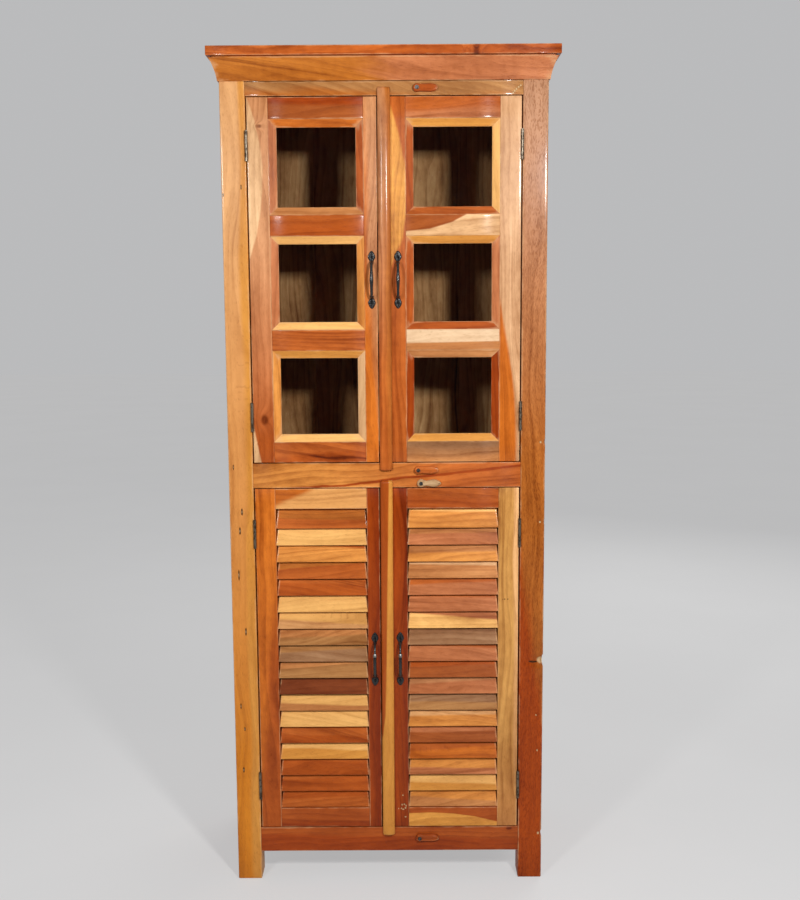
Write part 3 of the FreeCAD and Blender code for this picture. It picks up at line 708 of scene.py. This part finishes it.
lacquered = timber_material("lacquered_timber")
scratched = timber_material("scratched_timber", holes=SPECKS, chips=SCRATCHES)
wormed = timber_material("wormed_timber", contrast=0.9, holes=WORM_HOLES)
chipped = timber_material("chipped_timber", contrast=0.7, rough=0.42, holes=POST_CRACK, chips=CHIPS,
                          pores=0.26, open_grain=0.08)
cracked = timber_material("cracked_timber", chips=CRACK)
unfinished = timber_material("unfinished_timber", contrast=1.7, coat=0.0, rough=0.74, highlight_wear_share=0.25)
iron = iron_material()
hinge_steel = steel_material("hinge_steel", (0.20, 0.165, 0.125, 1), (0.05, 0.037, 0.026, 1))
collar_steel = steel_material("collar_steel", (0.36, 0.35, 0.33, 1), (0.16, 0.15, 0.14, 1))
screw_steel = steel_material("screw_steel", (0.10, 0.095, 0.09, 1), (0.035, 0.03, 0.027, 1))
glass = glass_material()

# Shared planes of the frame
posts = {name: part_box(f"post_{name}") for name in ("front_left", "front_right", "rear_left", "rear_right")}
(body_left, front, _), (inner_left, side_front, _) = posts["front_left"]
(inner_right, _, _), (body_right, _, _) = posts["front_right"]
(_, side_back, _), (rear_left, body_back, _) = posts["rear_left"]
rear_right = posts["rear_right"][0].x

# Posts and rails, with dents in the right post's outer edge by height, size and depth
POST_EDGE = 0.0022
DENTS = from_mm((528, 14, 6.5), (851, 6, 2), (1033, 7, 2.5), (109, 9, 3))
right_dents = [((z, body_right, front), size, depth) for z, size, depth in DENTS]
post_woods = {
    # The left post fades to a paler tone towards its top: a painted sheen
    "front_left": (Timber("saffron", "gold", across=-0.3245, lean=0.004, soft=0.012, ending="wheat",
                          fade=(0.3, 1.6)), wormed, ()),
    # The right post fades to a pale pinkish tone towards its top: partly the wood's own tone, partly a
    # painted sheen
    "front_right": (Timber("umber", "brick", across=0.3285, lean=-0.12, along=0.6, soft=0.03, side=-1,
                           ending="painted_sheen_clay", fade=(1.0, 1.8)), chipped, right_dents),
    "rear_left": (Timber("orange", "honey", across=-0.33, soft=0.02), lacquered, ()),
    "rear_right": (Timber("russet", "copper", across=0.33, soft=0.02), lacquered, ()),
}
for name, (timber, material, dents) in post_woods.items():
    piece = Piece()
    plank(piece, *posts[name], Z, X, timber, radius=POST_EDGE, dents=dents)
    stand_in(f"post_{name}", piece, material)

rail_woods = {
    "rail_front_top": Timber("umber", "hazel", across=1.797, lean=-0.02, soft=0.02, slant=0.3),
    "rail_front_middle": Timber("amber", "red", across=0.9535, lean=0.1, along=0.03, soft=0.003, band=0.9,
                                slant=-0.1, figure=1.2, ending="copper", fade=(-0.15, 0.15)),
    "rail_front_bottom": Timber("red", "russet", across=0.112, lean=-0.03, along=-0.2, soft=0.012,
                                knots=((0.280, 0.122, 0.006, 0.6),)),
}
SHADOW_LINE = 0.002
SHADOW_DEPTH = 0.004
cornice_low, cornice_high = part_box("cornice_front")
for name, timber in rail_woods.items():
    piece = Piece()
    low, high = between(*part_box(name), X, inner_left, inner_right)
    if name == "rail_front_top":
        step = cornice_low.z - SHADOW_LINE
        plank(piece, *between(low, high, Z, low.z, step), X, Z, timber)
        low = Vector((low.x, low.y + SHADOW_DEPTH, step))
    plank(piece, low, high, X, Z, timber)
    stand_in(name, piece, cracked if name == "rail_front_top" else lacquered)

piece = Piece()
for box, tone in zip(boxes("side_rails"), "russet orange red copper amber russet".split()):
    plank(piece, *between(*box, Y, side_front, side_back), Y, Z, Timber(tone))
stand_in("side_rails", piece, lacquered)


def half_panel(box, inner):
    """The inner or outer half of a side panel's thickness."""
    low, high = box
    middle = (low.x + high.x) / 2
    span = (low.x, middle) if inner == (middle > 0) else (middle, high.x)
    return between(low, high, X, *span)


piece = Piece()
panel_tones = ("orange amber copper", "gold russet amber", "amber mauve gold", "russet honey copper")
for box, tones in zip(boxes("side_panels"), panel_tones):
    boards(piece, *half_panel(box, inner=False), Z, Y, tones.split())
stand_in("side_panels", piece, lacquered)

piece = Piece()
edge_board = Timber("russet", "copper", across=-0.17, lean=0.05, soft=0.03, figure=1.7,
                    knots=((0.198, -0.1935, 0.010, 0.9),))
boards(piece, *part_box("top_board"), X, Y, [edge_board, "orange", "russet", "amber"])
stand_in("top_board", piece, lacquered)

# Back, shelves and the other inside boards
BOARD_LAP = 0.0006
TONE_WIDTH = 0.04
INSIDE_TONES = ("dusty", "taupe", "hazel")


def inside_tone(k):
    """The tone of an inside board by its number."""
    return INSIDE_TONES[k % len(INSIDE_TONES)]


for node in ("back_boards", "rails_back", "shelf_cleats", "door_stops"):
    piece = Piece()
    for k, (low, high) in enumerate(boxes(node)):
        if node == "back_boards":
            low, high = between(low, high, X, low.x - BOARD_LAP, high.x + BOARD_LAP)
        if node == "rails_back":
            low, high = between(low, high, X, rear_left, rear_right)
        timber = Timber(inside_tone(k), "dusty", across=low.x + TONE_WIDTH, soft=0.05)
        stick(piece, low, high, timber)
    stand_in(node, piece, unfinished)
for node in ("shelves", "floors"):
    piece = Piece()
    for k, (low, high) in enumerate(boxes(node)):
        boards(piece, low, high, X, Y, [inside_tone(k + n) for n in range(3)])
    stand_in(node, piece, unfinished)

# Cornice: a hollow moulding, mitred at the front corners, with a shadow line under the top board
CORNICE_HOLLOW = 0.0025
HOLLOW_RISE = 0.3
HOLLOW_DEPTH = 0.95
CORNICE_STEPS = 8
BROW_GAP = 0.003
BROW_STEP = 0.007
foot = [p.y for p in solids("cornice_front")[0] if p.z < cornice_low.z + 1e-5]
foot_reach = front - min(foot)
top_reach = front - cornice_low.y
brow = cornice_high.z - BROW_GAP
profile = [(cornice_high.z, 0.0), (cornice_low.z, 0.0)]
for k in range(CORNICE_STEPS + 1):
    t = k / CORNICE_STEPS
    sag = 4 * CORNICE_HOLLOW * t * (1 - t)
    profile.append((cornice_low.z + (brow - cornice_low.z) * t + HOLLOW_RISE * sag,
                    foot_reach + (top_reach - foot_reach) * t - HOLLOW_DEPTH * sag))
profile += [(brow, top_reach - BROW_STEP), (cornice_high.z, top_reach - BROW_STEP)]
section = outline(profile, radius=0.0010)

piece = Piece()
loft(piece, section, lambda v, w: body_left - w, lambda v, w: body_right + w,
     lambda u, v, w: Vector((u, front - w, v)),
     Timber("ochre", "mauve", across=1.845, lean=-0.6, along=0.03, soft=0.09, slant=0.1, curl=0.16))
stand_in("cornice_front", piece, lacquered)

piece = Piece()
for face, way, tone in ((body_left, -1, "orange"), (body_right, 1, "mauve")):
    loft(piece, section, lambda v, w: front - w, body_back, lambda u, v, w: Vector((face + way * w, u, v)),
         Timber(tone, "russet", across=1.86, soft=0.03))
stand_in("cornice_returns", piece, lacquered)


def stiles_of(door):
    """The names of a door's left and right stiles."""
    stiles = (f"{door}_hinge_stile", f"{door}_meeting_stile")
    return sorted(stiles, key=lambda name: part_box(name)[0].x)


# Upper doors: frame, beads and glass
LIP_EDGE = 0.0006
upper_stiles = {
    "upper_left_hinge_stile": Timber(
        "russet", "cream", across=-0.267, lean=0.04, along=1.6, bend=-0.98, soft=0.005, side=-1,
        ending="fawn", fade=(1.02, 1.5), heel=(1.085, -0.297, 0.175),
        knots=((1.726, -0.272, 0.009, 1.6), (1.0866, -0.2727, 0.0125, 0.75))),
    "upper_left_meeting_stile": Timber("orange", "fawn", across=-0.032, lean=-0.06, along=1.45, soft=0.02),
    "upper_right_meeting_stile": Timber(
        "copper", "gold", across=0.047, along=1.595, bend=-1.15, soft=0.008, side=-1, curl=0.22),
    "upper_right_hinge_stile": Timber(
        "orange", "oat", across=0.2895, along=1.05, bend=-0.42, soft=0.009, figure=0.9),
}
upper_rails = {
    "upper_left": [
        Timber("russet", "copper", across=1.01, lean=0.05, along=-0.15, soft=0.01, slant=0.2, figure=1.5),
        Timber("copper"),
        Timber("russet", "copper", across=1.52, soft=0.02, figure=0.8),
        Timber("sienna", "red", across=1.77, lean=-0.05, along=-0.1, soft=0.012),
    ],
    "upper_right": [
        Timber("tan", "taupe", across=1.01, soft=0.03),
        Timber("ivory", "tan", across=1.2555, lean=0.02, along=0.1, soft=0.004, side=-1),
        Timber("sienna", "cream", across=1.5077, lean=0.279, along=0.115, bend=2.0, soft=0.004, side=-1),
        Timber("mauve", "copper", across=1.765, soft=0.02),
    ],
}
# Beads of each pane from the lowest, each as left, right, bottom and top
bead_tones = {
    "upper_left": ("amber cream straw gold", "mauve amber straw straw", "mauve russet tan orange"),
    "upper_right": ("red red gold tan", "russet mauve russet gold", "russet straw copper gold"),
}
for door in ("upper_left", "upper_right"):
    field_low, field_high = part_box(f"{door}_beads")
    bead_corners = [p for group in solids(f"{door}_beads") for p in group]
    panes = sorted((low.z, high.z) for low, high in boxes(f"{door}_beads"))
    bead_width = min(p.x for p in bead_corners if p.x > field_low.x + 0.001) - field_low.x
    glass_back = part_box(f"{door}_glass")[1].y
    left_stile, right_stile = stiles_of(door)
    door_low, door_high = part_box(right_stile)
    lip_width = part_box(left_stile)[1].x - field_low.x

    for node, left, field_edge in ((left_stile, True, field_low.x), (right_stile, False, field_high.x)):
        low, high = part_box(node)
        timber = upper_stiles[node]
        piece = Piece()
        span = (low.x, field_edge) if left else (field_edge, high.x)
        plank(piece, *between(low, high, X, *span), Z, X, timber)
        lip = (field_edge, high.x) if left else (low.x, field_edge)
        for bottom, top in panes:
            plank(piece, Vector((lip[0], glass_back, bottom)), Vector((lip[1], high.y, top)), Z, X, timber,
                  radius=LIP_EDGE)
        stand_in(node, piece, lacquered)

    levels = [door_low.z] + [z for pane in panes for z in pane] + [door_high.z]
    piece = Piece()
    for k, timber in enumerate(upper_rails[door]):
        bottom, top = levels[2 * k], levels[2 * k + 1]
        low = Vector((field_low.x, door_low.y, bottom))
        high = Vector((field_high.x, door_high.y, top))
        plank(piece, low, high, X, Z, timber)
        lips = [(bottom - lip_width, bottom)] if k else []
        lips += [(top, top + lip_width)] if k < len(panes) else []
        for z0, z1 in lips:
            plank(piece, Vector((low.x + lip_width, glass_back, z0)),
                  Vector((high.x - lip_width, high.y, z1)), X, Z, timber, radius=LIP_EDGE)
    stand_in(f"{door}_rails", piece, lacquered)

    nose = min(p.y for p in bead_corners if abs(p.x - field_low.x - bead_width) < 1e-5)
    thick, back = field_low.y, field_high.y
    section = outline([(0, thick), (bead_width, nose), (bead_width, back), (0, back)], radius=0.0009,
                      margin=0.003)
    piece = Piece()
    x0, x1 = field_low.x, field_high.x
    for (z0, z1), tones in zip(panes, bead_tones[door]):
        runs = (
            (z0, z1, lambda u, v, w: Vector((x0 + v, w, u))),
            (z0, z1, lambda u, v, w: Vector((x1 - v, w, u))),
            (x0, x1, lambda u, v, w, z=z0: Vector((u, w, z + v))),
            (x0, x1, lambda u, v, w, z=z1: Vector((u, w, z - v))),
        )
        for (start, end, place), tone in zip(runs, tones.split()):
            loft(piece, section, lambda v, w: start + v, lambda v, w: end - v, place, Timber(tone),
                 wave=0.0001)
    stand_in(f"{door}_beads", piece, lacquered)

    pane = frame["nodes"][f"{door}_glass"]
    paint(pane, glass)
    pane.visible_shadow = False
    pane.visible_diffuse = False

# Lower doors: frame and louvres
lower_stiles = {
    "lower_left_hinge_stile": Timber(
        "orange", "russet", across=-0.272, lean=0.08, along=0.5, soft=0.03, curl=0.16, slant=0.05,
        figure=1.2),
    "lower_left_meeting_stile": Timber("red", "deep", across=-0.03, soft=0.02),
    "lower_right_meeting_stile": Timber("red", "deep", across=0.030, lean=-0.02, along=0.7, soft=0.02),
    "lower_right_hinge_stile": Timber(
        "tan", "wheat", across=0.290, lean=-0.01, along=0.7, soft=0.01, figure=1.1, ending="khaki",
        fade=(0.05, 0.35)),
}
lower_rails = {
    "lower_left": [
        Timber("red", "russet", across=0.15, soft=0.02),
        Timber("corn", "orange", across=0.912, lean=0.5, along=-0.215, soft=0.016),
    ],
    "lower_right": [
        Timber("russet", "gold", across=0.159, lean=-0.1, along=0.148, bend=-0.95, soft=0.003, side=-1),
        Timber("russet", "copper", across=0.912, lean=-0.05, along=0.1, soft=0.012),
    ],
}
# Slats of each door from the top
slat_tones = {
    "lower_left": "copper straw amber copper russet straw wheat hazel taupe "
                  "hazel cocoa straw straw russet gold russet russet copper",
    "lower_right": "amber mauve amber tan mauve mauve mauve taupe mauve "
                   "sienna mauve hazel amber sienna orange amber gold tan",
}
# The streaks of a slat that has no plain second tone
near_tones = {"amber": "tan", "russet": "copper", "wheat": "straw", "hazel": "taupe", "taupe": "hazel",
              "gold": "straw", "mauve": "tan", "sienna": "russet", "orange": "copper", "copper": "russet"}
# Slats with a plain second tone, as its name, its side and how far up the slat it starts
two_toned = {
    "lower_left": {
        0: ("umber", 1, 0.40), 2: ("russet", 1, 0.78), 3: ("umber", 1, 0.60), 7: ("tan", 1, 0.40),
        9: ("tan", 1, 0.60), 11: ("tan", -1, 0.30),
    },
    "lower_right": {
        0: ("straw", 1, 0.80), 3: ("cream", 1, 0.64), 4: ("copper", 1, 0.60), 5: ("copper", 1, 0.78),
        6: ("straw", -1, 0.57), 7: ("taupe", 1, 0.50), 8: ("copper", 1, 0.70), 10: ("fawn", 1, 0.55),
        12: ("wheat", 1, 0.50), 13: ("mauve", 1, 0.50), 15: ("mauve", -1, 0.30), 16: ("straw", 1, 0.34),
        17: ("amber", 1, 0.35),
    },
}
for node, timber in lower_stiles.items():
    piece = Piece()
    plank(piece, *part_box(node), Z, X, timber)
    stand_in(node, piece, scratched if node.startswith("lower_right") else lacquered)

SLAT_TAPER = 0.0042
# Slat ends are painted pale over a short length, as wear and as a painted highlight
SLAT_END_HIGHLIGHT_WEAR = 0.0030
SLAT_LAP = 0.0006
for door in ("lower_left", "lower_right"):
    left_stile, right_stile = stiles_of(door)
    field = (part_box(left_stile)[1].x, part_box(right_stile)[0].x)
    piece = Piece()
    for box, timber in zip(boxes(f"{door}_rails"), lower_rails[door]):
        plank(piece, *between(*box, X, *field), X, Z, timber)
    stand_in(f"{door}_rails", piece, lacquered)

    piece = Piece()
    slats = sorted(solids(f"{door}_louvres"), key=lambda points: -max(p.z for p in points))
    for k, (points, tone) in enumerate(zip(slats, slat_tones[door].split())):
        end = min(p.x for p in points)
        ring = [p for p in points if p.x < end + 1e-4]
        middle = sum(ring, Vector()) / len(ring)
        ring.sort(key=lambda p: math.atan2(p.z - middle.z, p.y - middle.y))
        sides = [ring[n - 1] - ring[n] for n in range(len(ring))]
        wide = max(sides, key=lambda side: side.length)
        thin = min(sides, key=lambda side: side.length)
        wide = wide if wide.z > 0 else -wide
        tilt = Matrix.Rotation(math.atan2(-wide.y, wide.z), 4, "X")
        turn = Matrix.Translation(middle) @ tilt @ Matrix.Translation(-middle)
        half = Vector((0, thin.length / 2, wide.length / 2))
        low, high = between(middle - half, middle + half, X, field[0] - SLAT_LAP, field[1] + SLAT_LAP)
        streaks = (near_tones.get(tone, tone), 1, chance.uniform(0.3, 0.7))
        second, side, level = two_toned[door].get(k, streaks)
        timber = Timber(tone, second, across=low.z + level * (high.z - low.z), side=side, soft=0.006,
                        lean=chance.uniform(-0.08, 0.08), along=sum(field) / 2,
                        slant=chance.uniform(-0.15, 0.15))
        plank(piece, low, high, X, Z, timber, turn=turn, worn=SLAT_END_HIGHLIGHT_WEAR, long_edge_highlight_wear=0.0, taper=SLAT_TAPER)
    stand_in(f"{door}_louvres", piece, lacquered)

# Cover strips: flat at the back, domed in front, rounded at the ends
strip_woods = {
    "upper_strip": Timber("copper", "umber", across=0.0, lean=-0.02, along=1.4, soft=0.02, curl=0.2,
                          ending="fawn", fade=(1.2, 1.6)),
    "lower_strip": Timber("gold", "russet", across=-0.001, lean=0.02, along=0.7, soft=0.004, side=-1,
                          above=0.37),
}
STRIP_DOME = 0.007
STRIP_CORNER = 0.006
STRIP_STEPS = 12
STRIP_BACK = 0.9
for node, timber in strip_woods.items():
    low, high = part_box(node)
    half = (high.x - low.x) / 2
    middle = (high.x + low.x) / 2
    shoulder = low.y + STRIP_DOME
    shape = [(high.x, high.y), (low.x, high.y)]
    for k in range(STRIP_STEPS + 1):
        a = math.pi * (1 - k / STRIP_STEPS)
        shape.append((middle + half * math.cos(a), shoulder - STRIP_DOME * math.sin(a)))
    section = [(spot, normal * (normal.y < STRIP_BACK), edge)
               for spot, normal, edge in outline(shape, radius=0.0008)]
    piece = Piece()
    loft(piece, section, low.z, high.z, lambda u, v, w: Vector((v, w, u)), timber, bullnose(STRIP_CORNER))
    stand_in(node, piece, lacquered, sharp=50)

# Turn buttons: bevelled, with a round head; half widths by distance from the screw
button_shapes = {
    "plain": from_mm((9, 8), (18, 8.2), (30, 8.5), (38, 7.2), (43, 4.8), (45, 1.6)),
    "waisted": from_mm((8.5, 6.2), (13, 5.5), (18, 6.8), (26, 8.5), (34, 7.8), (41, 4.5), (45, 1.2)),
}
button_woods = {
    "upper_top_button": (Timber("russet"), "plain", lacquered),
    "upper_bottom_button": (Timber("copper"), "plain", lacquered),
    "lower_top_button": (Timber("bare"), "waisted", unfinished),
    "lower_bottom_button": (Timber("russet"), "plain", lacquered),
}
pivots = {joint["child"]: Vector(joint["pos_m"]) for joint in frame["record"]["behaviour"]["joints"]}
BUTTON_HEAD = 0.009
HEAD_STEPS = 12
HEAD_START = 68
BUTTON_BEVEL = from_mm((0, 3), (0.6, 1.9), (2.2, 0.5), (3.2, 0))


def facing(u, v, w):
    """A section in the plane of the front, carried from front to back."""
    return Vector((v, u, w))


for node, (timber, shape, material) in button_woods.items():
    low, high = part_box(node)
    pivot = pivots[node]
    flank = button_shapes[shape]
    upper = [(pivot.x + s, pivot.z + h) for s, h in flank]
    lower = [(pivot.x + s, pivot.z - h) for s, h in reversed(flank)]
    head = []
    for k in range(HEAD_STEPS + 1):
        a = math.radians(-HEAD_START - (360 - 2 * HEAD_START) * k / HEAD_STEPS)
        head.append((pivot.x + BUTTON_HEAD * math.cos(a), pivot.z + BUTTON_HEAD * math.sin(a)))
    section = outline(upper + lower + head, radius=0.0008, margin=0.05)
    piece = Piece()
    loft(piece, section, low.y, high.y, facing, timber, BUTTON_BEVEL, eased(radius=0.0004), order=(1, 2, 0),
         wave=0.0002)
    stand_in(node, piece, material)

# Handles: leaf plates, as half widths by height from the middle, and a bowed grip
plain = Timber("deep")
HANDLE_NECK = 0.039
HANDLE_BOW = 0.0246
HANDLE_FOOT = 0.0012
BOW_SHAPE = 0.75
LEAST_RISE = 0.02
GRIP_STEPS = 48
COLLAR_STEPS = 8
COLLAR_START = 0.20
COLLAR_SPAN = 0.11
LEAF_THICK = 0.003
LEAF_DOME = from_mm((0, 2.4), (0.4, 1.4), (1.4, 0.3), (2, 0))
LEAF = from_mm((63, 1.2), (61.5, 3), (57.5, 5.8), (52.5, 8), (49, 8.4), (45.5, 7), (42.5, 5), (40, 4.2),
               (35, 4.2))


def sweep(piece, middle, turns, radius_at, sides=14):
    """A round bar along the bow of a grip, through turns from -1 to 1, with a radius by its height."""
    rings = []
    for t in turns:
        a = t * math.pi / 2
        height = HANDLE_NECK * math.sin(a)
        bow = math.cos(a) ** BOW_SHAPE
        spot = middle + Vector((0, -HANDLE_FOOT - HANDLE_BOW * bow, height))
        fall = BOW_SHAPE * HANDLE_BOW * math.sin(a)
        ahead = Vector((0, fall, HANDLE_NECK * max(LEAST_RISE, math.cos(a)))).normalized()
        side = Vector((1, 0, 0))
        out = ahead.cross(side)
        radius = radius_at(height, bow)
        ring = []
        for n in range(sides):
            b = 2 * math.pi * n / sides
            around = side * math.cos(b) + out * math.sin(b)
            ring.append(piece.add(spot + around * radius, plain.values(height, 0, 0, 0.0, ahead)))
        rings.append(ring)
    piece.close(rings)


def plain_grip(height, bow):
    """Radius of an upper grip, swelling at its middle and its feet."""
    return 0.0030 + 0.0012 * math.exp(-(height / 0.013) ** 2) + 0.0010 * (1 - bow) ** 2


def collared_grip(height, bow):
    """Radius of a lower grip, thinner above its collar."""
    neck = min(1, max(0, (height - 0.012) / 0.008))
    return 0.0038 - 0.0013 * neck + 0.0014 * (1 - bow) ** 2


def collar(height, bow):
    """Radius of the collar, rounded along its height."""
    return 0.0042 + 0.0004 * math.cos((height - 0.015) / 0.003 * math.pi / 2)


for door in ("upper_left", "upper_right", "lower_left", "lower_right"):
    node = f"{door}_handle"
    low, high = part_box(node)
    x = (low.x + high.x) / 2
    z = (low.z + high.z) / 2
    piece = Piece()
    for way in (-1, 1):
        rim = [(x + h, z + way * s) for s, h in LEAF] + [(x - h, z + way * s) for s, h in reversed(LEAF)]
        section = outline(rim, radius=0.0006, margin=0.05)
        loft(piece, section, high.y - LEAF_THICK, high.y, facing, plain, LEAF_DOME, eased(radius=0.0003),
             order=(1, 2, 0), wave=0.0003)
    middle = Vector((x, high.y, z))
    collared = door.startswith("lower")
    turns = [2 * k / GRIP_STEPS - 1 for k in range(GRIP_STEPS + 1)]
    sweep(piece, middle, turns, collared_grip if collared else plain_grip)
    stand_in(node, piece, iron)
    if collared:
        piece = Piece()
        turns = [COLLAR_START + COLLAR_SPAN * k / COLLAR_STEPS for k in range(COLLAR_STEPS + 1)]
        sweep(piece, middle, turns, collar, sides=20)
        add_piece(f"{door}_collar", piece, collar_steel, node)

# Unfinished inner faces of the side panels
piece = Piece()
for k, box in enumerate(boxes("side_panels")):
    boards(piece, *half_panel(box, inner=True), Z, Y, [inside_tone(k + n) for n in range(3)])
add_piece("side_panels.inside", piece, unfinished, "side_panels")

# Hinges and screws keep their solids
for name, node in frame["nodes"].items():
    if node.hide_render or name.endswith("_glass"):
        continue
    paint(node, screw_steel if name.endswith("screws") else hinge_steel)

# Camera at the photograph's angle
LENS = 45.18
EYE = Vector((0.03358, -2.68788, 1.33917))
YAW = math.radians(-0.0795)
PITCH = math.radians(-7.2977)
ROLL = math.radians(-0.3479)
camera = add_object("camera", bpy.data.cameras.new("camera"))
camera.data.lens = LENS
camera.matrix_world = (
    Matrix.Translation(EYE)
    @ Matrix.Rotation(-YAW, 4, "Z")
    @ Matrix.Rotation(math.pi / 2 + PITCH, 4, "X")
    @ Matrix.Rotation(ROLL, 4, "Z")
)
bpy.context.scene.camera = camera


# Lamps, floor and background
def lamp(name, place, aim, size, power):
    """A square lamp that faces a place."""
    light = bpy.data.lights.new(name, "AREA")
    light.size = size
    light.energy = power
    made = add_object(name, light)
    made.location = place
    made.rotation_euler = (Vector(aim) - Vector(place)).to_track_quat("-Z", "Y").to_euler()


lamp("key", place=(0.735, -2.05, 1.82), aim=(0.0, -0.17, 1.0), size=0.17, power=34)
lamp("left", place=(-1.1, -2.35, 1.88), aim=(0.0, -0.17, 1.0), size=0.27, power=23.5)
lamp("rear", place=(1.6, 2.8, 2.6), aim=(0.0, 0.0, 1.0), size=2.4, power=40)

# The world lights the cabinet less than it shows
SKY_TONE = (0.98, 0.985, 1.0, 1)
SKY_LIGHT = 0.23
SKY_SHOWN = 0.505
sky = Graph("studio", "worlds", "Background")
glow = sky.node("MapRange", {"Value": sky.seen(), "To Min": SKY_LIGHT, "To Max": SKY_SHOWN})
bpy.context.scene.world = sky.finish(Color=SKY_TONE, Strength=glow.outputs["Result"])


def sheet(name, corners, material):
    """A flat four-cornered sheet."""
    mesh = bpy.data.meshes.new(name)
    mesh.from_pydata(corners, [], [(0, 1, 2, 3)])
    mesh.materials.append(material)
    return add_object(name, mesh)


FLOOR_REACH = 20
signs = ((-1, -1), (1, -1), (1, 1), (-1, 1))
floor = sheet("floor", [(FLOOR_REACH * a, FLOOR_REACH * b, 0) for a, b in signs], floor_material())

# A dark curtain behind the camera, which the glass mirrors and which keeps the inside dark
CURTAIN_PLACE = -3.8
CURTAIN_REACH = 6.0
CURTAIN_TOP = 4.0
hem = [(CURTAIN_REACH * a, CURTAIN_PLACE, CURTAIN_TOP * (b > 0)) for a, b in signs]
curtain = sheet("curtain", hem, curtain_material())
curtain.visible_camera = False
curtain.visible_shadow = False

bpy.context.scene.view_settings.view_transform = "Standard"
